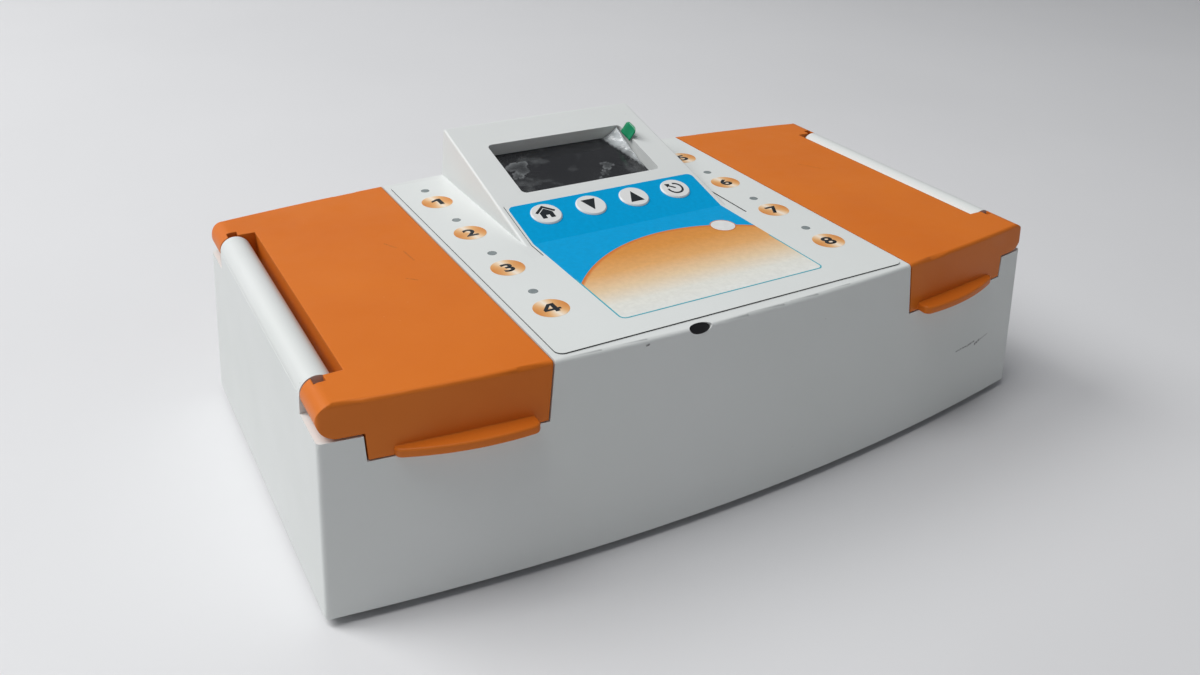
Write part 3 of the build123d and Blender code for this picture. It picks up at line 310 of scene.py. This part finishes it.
def badge_print():
    """A number's disc: orange print at its left and right, with a painted highlight of pale streaks up and
    down from the middle, like the sheen of a brushed metal disc.
    """
    finish = Finish("badge_print", colour(222, 160, 90), 0.38, Specular_IOR_Level=0.2)
    middle = finish.vector("SUBTRACT", finish.add("TexCoord").outputs["UV"], (0.5, 0.5, 0.0))
    parts = finish.add("SeparateXYZ", {0: middle}).outputs
    radius = finish.vector("LENGTH", middle, out=1)
    tilted = finish.calc("ADD", parts["X"], finish.calc("MULTIPLY", parts["Y"], 0.18))
    sideways = finish.calc("ABSOLUTE", finish.calc("DIVIDE", tilted, finish.calc("MAXIMUM", radius, 0.02)))
    orange_share = finish.calc("MULTIPLY", sideways, finish.span(radius, 0.0, 0.5, 0.45, 1.0))
    # Painted highlight: the disc turns pale up and down from the middle, as the sheen of brushed metal.
    finish.paint(finish.ramp(
        orange_share,
        [
            (0.0, colour(240, 228, 212)),
            (0.30, colour(234, 202, 164)),
            (0.60, colour(225, 170, 112)),
            (1.0, colour(212, 136, 66)),
        ],
    ))
    return finish.material


def key_white():
    """Keys: satin white plastic."""
    finish = Finish("key_white", (0.76, 0.765, 0.755, 1.0), 0.38)
    finish.bump(finish.noise(2400.0, 2.0), 0.12, 0.00005)
    finish.feed(finish.shader, "Roughness", finish.span(finish.noise(300.0, 3.0), 0.3, 0.7, 0.33, 0.44))
    return finish.material


def window_grey():
    """Status window: cloudy clear plastic over an unlit lamp."""
    finish = Finish("window_grey", (0.22, 0.26, 0.265, 1.0), 0.25)
    finish.paint(finish.mix(finish.span(finish.noise(900.0, 3.0), 0.3, 0.7), (0.19, 0.225, 0.23, 1.0),
                            (0.27, 0.31, 0.31, 1.0)))
    finish.feed(finish.shader, "Coat Weight", 0.4)
    return finish.material


def turned_steel(name, base, roughness):
    """Pins, screws, probes and folded metal: bright, with fine tool marks."""
    finish = Finish(name, base, roughness, Metallic=1.0)
    lines = finish.noise(40.0, 4.0, finish.stretch((60.0, 60.0, 60.0)))
    finish.feed(finish.shader, "Roughness", finish.span(lines, 0.3, 0.7, roughness - 0.07, roughness + 0.08))
    finish.bump(lines, 0.12, 0.00003)
    return finish.material


def anodised():
    """Heater blocks: satin aluminium with faint milling lines."""
    finish = Finish("anodised", (0.60, 0.61, 0.63, 1.0), 0.36, Metallic=1.0)
    lines = finish.noise(30.0, 3.0, finish.stretch((90.0, 4.0, 90.0)))
    finish.feed(finish.shader, "Roughness", finish.span(lines, 0.3, 0.7, 0.28, 0.45))
    finish.bump(lines, 0.15, 0.00004)
    finish.bump(finish.noise(3000.0, 2.0), 0.08, 0.00003)
    return finish.material


def soft_matt(name, base, scale, depth):
    """Rubber, silicone and closed-cell foam: matt, with pores or a fine grain, and painted shade in the
    hollows of the pores.
    """
    finish = Finish(name, base, 0.85)
    pores = finish.cells(scale)
    # Painted shade: darker at the middle of each pore, where the bump dips.
    finish.paint(finish.mix(finish.span(pores, 0.0, 0.5), shaded(base, 0.6), base))
    finish.bump(pores, 0.5, depth)
    return finish.material


def solder_mask():
    """Circuit boards: green mask with paler tracks."""
    base = (0.012, 0.10, 0.035, 1.0)
    finish = Finish("solder_mask", base, 0.30)
    bricks = finish.add("TexBrick", {"Vector": finish.place, "Scale": 260.0}).outputs["Fac"]
    tracks = finish.calc("MULTIPLY", finish.span(bricks, 0.4, 0.6), 0.5)
    finish.paint(finish.mix(tracks, base, (0.03, 0.20, 0.07, 1.0)))
    return finish.material


def moulded(name, base, roughness):
    """Plain moulded plastic, slightly uneven in colour."""
    finish = Finish(name, base, roughness)
    finish.paint(finish.mix(finish.span(finish.noise(120.0, 3.0), 0.3, 0.7), base, shaded(base, 0.88)))
    finish.bump(finish.noise(2400.0, 2.0), 0.12, 0.00006)
    return finish.material


def display_glass():
    """Unlit display: near-black glass, a little uneven in its darkness."""
    finish = Finish("display_glass", (0.018, 0.018, 0.021, 1.0), 0.08, Specular_IOR_Level=0.25)
    finish.paint(finish.mix(finish.span(finish.noise(55.0, 2.0), 0.35, 0.7), (0.010, 0.010, 0.012, 1.0),
                            (0.016, 0.016, 0.018, 1.0)))
    return finish.material


def clear_film():
    """Protective film: clear with a faint haze; over its bubbles and its lifted corner it is painted paler
    and more opaque, a painted reflection of the trapped air, the bubbles' rims and the bright creases.
    """
    finish = Finish("clear_film", (0.74, 0.78, 0.79, 1.0), 0.12, IOR=1.55)
    haze = finish.span(finish.noise(130.0, 3.0), 0.55, 0.72, 0.0, 0.05)
    lifted = finish.add("Attribute", attribute_name="lift").outputs["Fac"]
    slanted = finish.stretch((1.0, 4.0, 1.0), (0, 0, radians(30)))
    streaks = finish.span(finish.noise(55.0, 2.0, slanted), 0.35, 0.65)
    # Painted reflection: pale streaks over the bubbles and the lifted corner, in place of light off the
    # creases and rims.
    painted_reflection = finish.calc("MULTIPLY", lifted, finish.span(streaks, 0.0, 1.0, 0.35, 0.95))
    finish.feed(finish.shader, "Alpha", finish.calc("MAXIMUM", finish.calc("ADD", haze, 0.012), painted_reflection))
    finish.material.surface_render_method = "BLENDED"
    return finish.material


def green_tab():
    """Pull tab: glossy green film."""
    finish = Finish("green_tab", (0.0, 0.245, 0.105, 1.0), 0.28)
    finish.paint(finish.mix(finish.span(finish.noise(300.0, 2.0), 0.3, 0.7), (0.0, 0.27, 0.115, 1.0),
                            (0.0, 0.21, 0.085, 1.0)))
    return finish.material


FINISHES = {
    "white_shell": moulded_white(),
    "grey_plastic": moulded("moulded_grey", (0.055, 0.057, 0.06, 1.0), 0.55),
    "orange_lid": moulded_orange(),
    "steel": turned_steel("turned_steel", (0.66, 0.66, 0.67, 1.0), 0.24),
    "rubber": soft_matt("foot_rubber", (0.018, 0.018, 0.019, 1.0), 1500.0, 0.00008),
    "silicone": soft_matt("seal_silicone", (0.30, 0.045, 0.02, 1.0), 2200.0, 0.00003),
    "foam": soft_matt("closed_foam", (0.030, 0.030, 0.033, 1.0), 1100.0, 0.00025),
    "aluminium": anodised(),
    "overlay": printed_film(),
    "white_key": key_white(),
    "light_window": window_grey(),
    "circuit_board": solder_mask(),
    "black_component": moulded("black_plastic", (0.013, 0.013, 0.014, 1.0), 0.32),
    "pale_component": moulded("pale_plastic", (0.66, 0.65, 0.58, 1.0), 0.45),
    "frame_metal": turned_steel("folded_metal", (0.50, 0.51, 0.52, 1.0), 0.34),
    "display_black": display_glass(),
    "clear_film": clear_film(),
    "green_tab": green_tab(),
    "cable": moulded("flat_cable", (0.30, 0.31, 0.33, 1.0), 0.5),
}
INK = print_ink("dark_ink", (0.022, 0.026, 0.030, 1.0))

for row in frame["record"]["subparts"]:
    for holder in nodes[row["node"]].material_slots:
        holder.material = FINISHES[row["material_slot"]]


def make_piece(name, shape, body, slot, *finishes, smooth=False):
    """Turns a finished bmesh into a piece that rides on a body."""
    bmesh.ops.recalc_face_normals(shape, faces=shape.faces)
    mesh = bpy.data.meshes.new(name)
    shape.to_mesh(mesh)
    shape.free()
    for finish in finishes or (FINISHES[slot],):
        mesh.materials.append(finish)
    if smooth:
        mesh.shade_smooth()
        mesh.set_sharp_from_angle(angle=radians(35))
    piece = bpy.data.objects.new(name, mesh)
    bpy.context.scene.collection.objects.link(piece)
    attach(piece, body)
    return piece


def vertices_of(geometry):
    """The vertices among what an operator returns."""
    return [item for item in geometry if isinstance(item, bmesh.types.BMVert)]


def edges_of(geometry):
    """The edges among what an operator returns."""
    return [item for item in geometry if isinstance(item, bmesh.types.BMEdge)]


def face_up(shape):
    """Turns the faces of a flat shape upwards."""
    for face in shape.faces:
        if face.normal.z < 0:
            face.normal_flip()


def thicken(shape):
    """Gives a flat shape the thickness of a print, upwards."""
    bmesh.ops.recalc_face_normals(shape, faces=shape.faces)
    raised = bmesh.ops.extrude_face_region(shape, geom=list(shape.faces))["geom"]
    bmesh.ops.translate(shape, verts=vertices_of(raised), vec=(0, 0, PRINT))


def outline(shape, points):
    """A flat face through a few corners, given in millimetres."""
    return shape.faces.new([shape.verts.new((x * MM, y * MM, 0)) for x, y in points])


def rounded_panel():
    """The printed panel: a rounded rectangle with an outline, folded where the deck meets the slope."""
    half_width = 37.7 * MM
    top = HOOD_FRONT + 21.0 * MM
    lift = FILM + CLEAR
    shape = bmesh.new()
    corners = [(-half_width, PANEL_FRONT), (half_width, PANEL_FRONT), (half_width, top), (-half_width, top)]
    outline(shape, [(x / MM, y / MM) for x, y in corners])
    bmesh.ops.bevel(shape, geom=list(shape.verts), offset=2.2 * MM, offset_type="OFFSET", segments=6,
                    profile=0.5, affect="VERTICES", material=-1)
    ring = bmesh.ops.inset_region(shape, faces=list(shape.faces), thickness=0.5 * MM, depth=0.0,
                                  use_even_offset=True, use_boundary=True)
    for face in ring["faces"]:
        face.material_index = 1
    fold = HOOD_FRONT - lift * tan(HOOD_SLOPE / 2)
    for place in (fold, OUTLINE_END):
        bmesh.ops.bisect_plane(shape, geom=shape.verts[:] + shape.edges[:] + shape.faces[:],
                               plane_co=(0, place, 0), plane_no=(0, 1, 0))
    for face in shape.faces:
        if face.material_index == 1 and face.calc_center_median().y > OUTLINE_END:
            face.material_index = 0
    thicken(shape)
    bmesh.ops.translate(shape, verts=shape.verts, vec=(0, 0, DECK + lift))
    risen = [v for v in shape.verts if v.co.y > fold + 0.01 * MM]
    hinge = Vector((0, fold, DECK + lift))
    bmesh.ops.rotate(shape, verts=risen, cent=hinge, matrix=Matrix.Rotation(HOOD_SLOPE, 3, "X"))
    make_piece("printed_panel", shape, "casing", "overlay", panel_print(),
               print_ink("outline_ink", colour(70, 172, 188)))


def disc(shape, middle, radius, rim=0.0):
    """A flat disc with a UV map across it, and a rim of the second finish if one is wanted."""
    made = bmesh.ops.create_circle(shape, cap_ends=True, segments=40, radius=radius)
    faces = list({face for vertex in made["verts"] for face in vertex.link_faces})
    if rim:
        ring = bmesh.ops.inset_region(shape, faces=faces, thickness=rim, depth=0.0, use_even_offset=True,
                                      use_boundary=True)["faces"]
        for face in ring:
            face.material_index = 1
        faces += ring
    layer = shape.loops.layers.uv.verify()
    vertices = list({vertex for face in faces for vertex in face.verts})
    for face in faces:
        for loop in face.loops:
            loop[layer].uv = (0.5 + loop.vert.co.x / radius / 2, 0.5 + loop.vert.co.y / radius / 2)
    bmesh.ops.translate(shape, verts=vertices, vec=middle)


def place_on_deck(shape, above):
    """Lifts a flat shape to its height above the deck."""
    bmesh.ops.translate(shape, verts=shape.verts, vec=(0, 0, DECK + above))


BADGES = [(side * BADGE_X, y) for side in (-1, 1) for y in WELLS_Y]


def number_discs():
    """The printed discs under the numbers."""
    shape = bmesh.new()
    for x, y in BADGES:
        disc(shape, (x, y, 0), 5.5 * MM)
    thicken(shape)
    place_on_deck(shape, FILM + CLEAR)
    make_piece("number_discs", shape, "casing", "overlay", badge_print())


def blank_disc():
    """The small white disc with an orange rim, on the dome's edge."""
    shape = bmesh.new()
    disc(shape, (27.7 * MM, -17.3 * MM, 0), 4.6 * MM, rim=0.35 * MM)
    thicken(shape)
    place_on_deck(shape, FILM + PRINT + 2 * CLEAR)
    make_piece("blank_disc", shape, "casing", "overlay", print_ink("disc_white", (0.76, 0.765, 0.75, 1.0)),
               print_ink("disc_rim", colour(206, 120, 62)))


# The 1 and the 4 have outlines of their own: a one with a flag, and a four with an open middle
FIGURE_HEIGHT = 0.7
FLAGGED_ONE = [
    [(0.0, 0.50), (0.0, 0.36), (0.24, 0.49), (0.24, 0.0), (0.42, 0.0), (0.42, 0.70), (0.27, 0.70)],
]
OPEN_FOUR = [
    [(0.27, 0.70), (0.50, 0.70), (0.50, 0.28), (0.60, 0.28), (0.60, 0.14), (0.50, 0.14), (0.50, 0.0),
     (0.34, 0.0), (0.34, 0.14), (0.0, 0.14), (0.0, 0.30)],
    [(0.34, 0.28), (0.34, 0.56), (0.14, 0.28)],
]


def drawn_figure(shape, contours, matrix):
    """A flat figure from its outer contour and its hole."""
    edges = []
    for contour in contours:
        corners = [shape.verts.new(matrix @ Vector((x, y, 0))) for x, y in contour]
        edges += [shape.edges.new((corners[i - 1], corners[i])) for i in range(len(corners))]
    bmesh.ops.triangle_fill(shape, use_beauty=True, use_dissolve=False, edges=edges)


def numbers():
    """The numbers 1 to 8, in bold wide figures, one on each disc."""
    shape = bmesh.new()
    wide = Matrix.Diagonal((9.0 * MM, 7.3 * MM, 1.0, 1.0))
    for number, (x, y) in enumerate(BADGES, 1):
        if number in (1, 4):
            contours = FLAGGED_ONE if number == 1 else OPEN_FOUR
            middle = Vector((-max(corner[0] for corner in contours[0]) / 2, -FIGURE_HEIGHT / 2, 0))
            drawn_figure(shape, contours, Matrix.Translation((x, y, 0)) @ wide @ Matrix.Translation(middle))
            continue
        words = bpy.data.curves.new("figure", "FONT")
        words.body = str(number)
        words.offset = 0.028
        words.resolution_u = 6
        holder = bpy.data.objects.new("figure", words)
        bpy.context.scene.collection.objects.link(holder)
        bpy.context.view_layer.update()
        flat = bpy.data.meshes.new_from_object(holder.evaluated_get(bpy.context.evaluated_depsgraph_get()))
        low = [min(v.co[i] for v in flat.vertices) for i in (0, 1)]
        high = [max(v.co[i] for v in flat.vertices) for i in (0, 1)]
        middle = -Vector((low[0] + high[0], low[1] + high[1], 0)) / 2
        flat.transform(Matrix.Translation((x, y, 0)) @ wide @ Matrix.Translation(middle))
        shape.from_mesh(flat)
        bpy.data.objects.remove(holder)
        bpy.data.curves.remove(words)
        bpy.data.meshes.remove(flat)
    bmesh.ops.remove_doubles(shape, verts=shape.verts, dist=0.001 * MM)
    face_up(shape)
    thicken(shape)
    place_on_deck(shape, FILM + PRINT + 2 * CLEAR)
    make_piece("numbers", shape, "casing", "overlay", INK)


def bar(shape, start, end, width):
    """A flat straight stroke between two points, in millimetres."""
    start = Vector(start)
    run = Vector(end) - start
    side = Vector((-run.y, run.x)).normalized() * width / 2
    outline(shape, [start - side, start + run - side, start + run + side, start + side])


def house_sign(shape):
    """Home: a house with a doorway, under a roof of its own."""
    outline(shape, [(-2.4, -2.7), (-0.7, -2.7), (-0.7, -1.0), (0.7, -1.0), (0.7, -2.7), (2.4, -2.7),
                    (2.4, 0.45), (0, 2.6), (-2.4, 0.45)])
    outline(shape, [(0, 4.3), (-3.8, 0.95), (-3.15, 0.2), (0, 3.0), (3.15, 0.2), (3.8, 0.95)])


def down_sign(shape):
    outline(shape, [(-2.75, 3.0), (0, -3.0), (2.75, 3.0)])


def up_sign(shape):
    outline(shape, [(-2.75, -3.0), (2.75, -3.0), (0, 3.0)])


def return_sign(shape):
    """Return: an open ring with an arrow that points out through its gap."""
    bar(shape, (0.3, 0.1), (-1.75, 1.9), 0.72)
    outline(shape, [(-2.95, 3.2), (-2.55, 1.0), (-0.85, 2.85)])
    edge = [shape.verts.new((x * MM, 0, 0)) for x in (2.4, 3.18)]
    line = shape.edges.new(edge)
    bmesh.ops.rotate(shape, verts=edge, cent=(0, 0, 0), matrix=Matrix.Rotation(radians(84), 3, "Z"))
    bmesh.ops.spin(shape, geom=edge + [line], cent=(0, 0, 0), axis=(0, 0, 1), dvec=(0, 0, 0),
                   angle=radians(-268), steps=36, use_duplicate=False)


def key_signs():
    """One sign on top of each key, from left to right. Each moves with its key."""
    signs = [("home", house_sign), ("down", down_sign), ("up", up_sign), ("return", return_sign)]
    for index, (word, draw) in enumerate(signs):
        shape = bmesh.new()
        draw(shape)
        face_up(shape)
        thicken(shape)
        x = (index - 1.5) * KEY_PITCH
        bmesh.ops.transform(shape, verts=shape.verts,
                            matrix=SLOPE @ Matrix.Translation((x, KEY_ROW, KEY_TOP + CLEAR)))
        make_piece(word + "_sign", shape, word + "_key", "white_key", INK)


def protective_film():
    """Film still on the display: bubbles under it, and its far right corner lifted from a crease."""
    margin = 0.35 * MM
    width = WINDOW_WIDTH - 2 * margin
    height = WINDOW_HEIGHT - 2 * margin
    shape = bmesh.new()
    bmesh.ops.create_grid(shape, x_segments=84, y_segments=48, size=0.5)
    bmesh.ops.scale(shape, verts=shape.verts, vec=(width, height, 1))
    # lift: how strongly the film is painted pale and opaque there, a painted reflection over the bubbles and
    # the creased corner
    lift = shape.verts.layers.float.new("lift")
    crease_start = Vector((width / 2 - 7.0 * MM, height / 2))
    crease_end = Vector((width / 2, height / 2 - 22.0 * MM))
    run = (crease_end - crease_start).normalized()
    outward = Vector((-run.y, run.x))
    # Bubbles: place across and up the film, radius and height, in millimetres
    bubbles = [
        (-19.5, 5.5, 4.2, 0.30), (-22.0, 1.0, 2.2, 0.16), (-6.0, -12.6, 1.5, 0.12), (-1.0, -13.2, 1.1, 0.10),
        (8.0, -10.0, 1.6, 0.14), (10.5, -6.2, 1.4, 0.12), (12.8, -11.8, 1.8, 0.14), (3.4, -12.4, 0.9, 0.10),
        (17.0, -12.8, 1.3, 0.10), (-14.0, -12.9, 1.2, 0.10), (14.0, -2.0, 2.4, 0.08),
    ]
    corner = (Vector((width / 2, height / 2)) - crease_start).dot(outward)
    for vertex in shape.verts:
        flat = Vector((vertex.co.x, vertex.co.y))
        rise = 0.0
        for x, y, radius, tall in bubbles:
            offset = flat / MM - Vector((x, y))
            turn = atan2(offset.y, offset.x)
            ragged = 1 + 0.20 * sin(3 * turn + x) + 0.13 * sin(5 * turn + 2 * y)
            away = offset.length / (radius * ragged)
            if away < 1:
                rise += tall * MM * (1 - away * away) ** 2
                # Painted reflection, strongest at a bubble's rim.
                vertex[lift] = max(vertex[lift], 0.06 + 0.14 * away ** 4)
        beyond = (flat - crease_start).dot(outward)
        if beyond > 0:
            share = beyond / corner
            ripple = sin(flat.y / MM * 0.85 + share * 3.0)
            rise += 4.2 * MM * share ** 1.45 + 0.30 * MM * ripple * share * (1.25 - share)
            # Painted reflection over the lifted corner.
            vertex[lift] = min(1.0, 0.25 + share * 1.4)
            vertex.co.x -= 0.9 * MM * share ** 2
        vertex.co.z = rise
    above_glass = Matrix.Translation((0, WINDOW_MIDDLE, -GLASS_DEPTH + 0.06 * MM))
    bmesh.ops.transform(shape, verts=shape.verts, matrix=SLOPE @ above_glass)
    piece = make_piece("display_film", shape, "casing", "clear_film", smooth=True)
    wall = piece.modifiers.new("thickness", "SOLIDIFY")
    wall.thickness = 0.08 * MM
    wall.offset = 1.0
    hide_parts("protective_film")


def pull_tab():
    """Green tab on the film's lifted corner, leaning outwards with rounded outer corners."""
    low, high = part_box("pull_tab")
    width = 5.3 * MM
    length = 7.0 * MM
    shape = bmesh.new()
    bmesh.ops.create_grid(shape, x_segments=8, y_segments=10, size=0.5)
    bmesh.ops.scale(shape, verts=shape.verts, vec=(width, length, 1))
    for vertex in shape.verts:
        across = vertex.co.x / width + 0.5
        along = abs(vertex.co.y) / (length / 2)
        vertex.co.x -= max(0.0, across - 0.55) * 2.4 * MM * max(0.0, along - 0.45) ** 2 * 4
        vertex.co.z = -0.35 * MM * sin(across * pi * 0.5) + 0.15 * MM * sin(vertex.co.y / MM)
    lean = radians(90 - 23)
    middle = (Vector(low) + Vector(high)) / 2
    turn = Matrix.Rotation(HOOD_SLOPE, 4, "X") @ Matrix.Rotation(-lean, 4, "Y")
    bmesh.ops.transform(shape, verts=shape.verts, matrix=Matrix.Translation(middle) @ turn)
    piece = make_piece("film_tab", shape, "casing", "green_tab", smooth=True)
    wall = piece.modifiers.new("thickness", "SOLIDIFY")
    wall.thickness = 0.25 * MM
    wall.offset = 0.0
    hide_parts("pull_tab")


rounded_panel()
number_discs()
blank_disc()
numbers()
key_signs()
protective_film()
pull_tab()


# Floor, camera and light
def pale_floor():
    """Paper floor that sweeps up into a backdrop behind the object."""
    finish = Finish("pale_floor", (0.77, 0.775, 0.79, 1.0), 0.6)
    finish.paint(finish.mix(finish.span(finish.noise(3.0, 3.0), 0.3, 0.7), (0.74, 0.742, 0.75, 1.0),
                            (0.71, 0.712, 0.72, 1.0)))
    finish.bump(finish.noise(6.0, 3.0), 0.25, 0.004)
    front, back, sweep_radius = -4.0, 1.6, 0.5
    shape = bmesh.new()
    near = shape.edges.new([shape.verts.new((x, front, 0)) for x in (-4.0, 4.4)])
    out = bmesh.ops.extrude_edge_only(shape, edges=[near])["geom"]
    bmesh.ops.translate(shape, verts=vertices_of(out), vec=(0, back - front, 0))
    swept = bmesh.ops.spin(shape, geom=vertices_of(out) + edges_of(out), cent=(0, back, sweep_radius),
                           axis=(1, 0, 0), dvec=(0, 0, 0), angle=radians(85), steps=16,
                           use_duplicate=False)["geom_last"]
    wall = bmesh.ops.extrude_edge_only(shape, edges=edges_of(swept))["geom"]
    bmesh.ops.translate(shape, verts=vertices_of(wall), vec=(0, 0.1, 1.2))
    mesh = bpy.data.meshes.new("floor")
    shape.to_mesh(mesh)
    shape.free()
    mesh.materials.append(finish.material)
    mesh.shade_smooth()
    floor = bpy.data.objects.new("floor", mesh)
    bpy.context.scene.collection.objects.link(floor)


def camera():
    """The photograph's view, with the camera fitted to it."""
    azimuth, elevation, roll = radians(-30.709), radians(30.255), 0.03226
    back = Vector((sin(azimuth) * cos(elevation), -cos(azimuth) * cos(elevation), sin(elevation)))
    right = Vector((0, 0, 1)).cross(back).normalized()
    up = back.cross(right)
    right, up = cos(roll) * right + sin(roll) * up, -sin(roll) * right + cos(roll) * up
    lens = bpy.data.cameras.new("camera")
    lens.sensor_width = 36.0
    lens.lens = 29.735
    lens.clip_start = 0.01
    holder = bpy.data.objects.new("camera", lens)
    bpy.context.scene.collection.objects.link(holder)
    turn = Matrix((right, up, back)).transposed().to_4x4()
    holder.matrix_world = Matrix.Translation((-0.16934, -0.26828, 0.20605)) @ turn
    bpy.context.scene.camera = holder


def soft_light(name, place, size, power):
    """A round soft lamp that faces the object."""
    lamp = bpy.data.lights.new(name, "AREA")
    lamp.shape = "DISK"
    lamp.size = size
    lamp.energy = power
    holder = bpy.data.objects.new(name, lamp)
    bpy.context.scene.collection.objects.link(holder)
    toward = Vector(place) - Vector((0.02, 0, 0.05))
    holder.matrix_world = Matrix.Translation(place) @ toward.to_track_quat("Z", "Y").to_matrix().to_4x4()


def studio_light():
    """Key light from the back left, a softer one above, a faint fill in front and a dim cool world."""
    soft_light("key_light", (-1.25, 1.0, 1.65), 1.2, 29.0)
    soft_light("top_light", (-0.5, 0.05, 1.7), 0.9, 13.5)
    soft_light("front_fill", (-0.3, -1.6, 0.40), 0.9, 1.0)
    world = bpy.data.worlds.new("studio")
    world.use_nodes = True
    sky = world.node_tree.nodes["Background"]
    sky.inputs["Color"].default_value = (0.90, 0.93, 1.0, 1.0)
    sky.inputs["Strength"].default_value = 0.165
    bpy.context.scene.world = world
    bpy.context.scene.view_settings.view_transform = "Standard"


pale_floor()
camera()
studio_light()
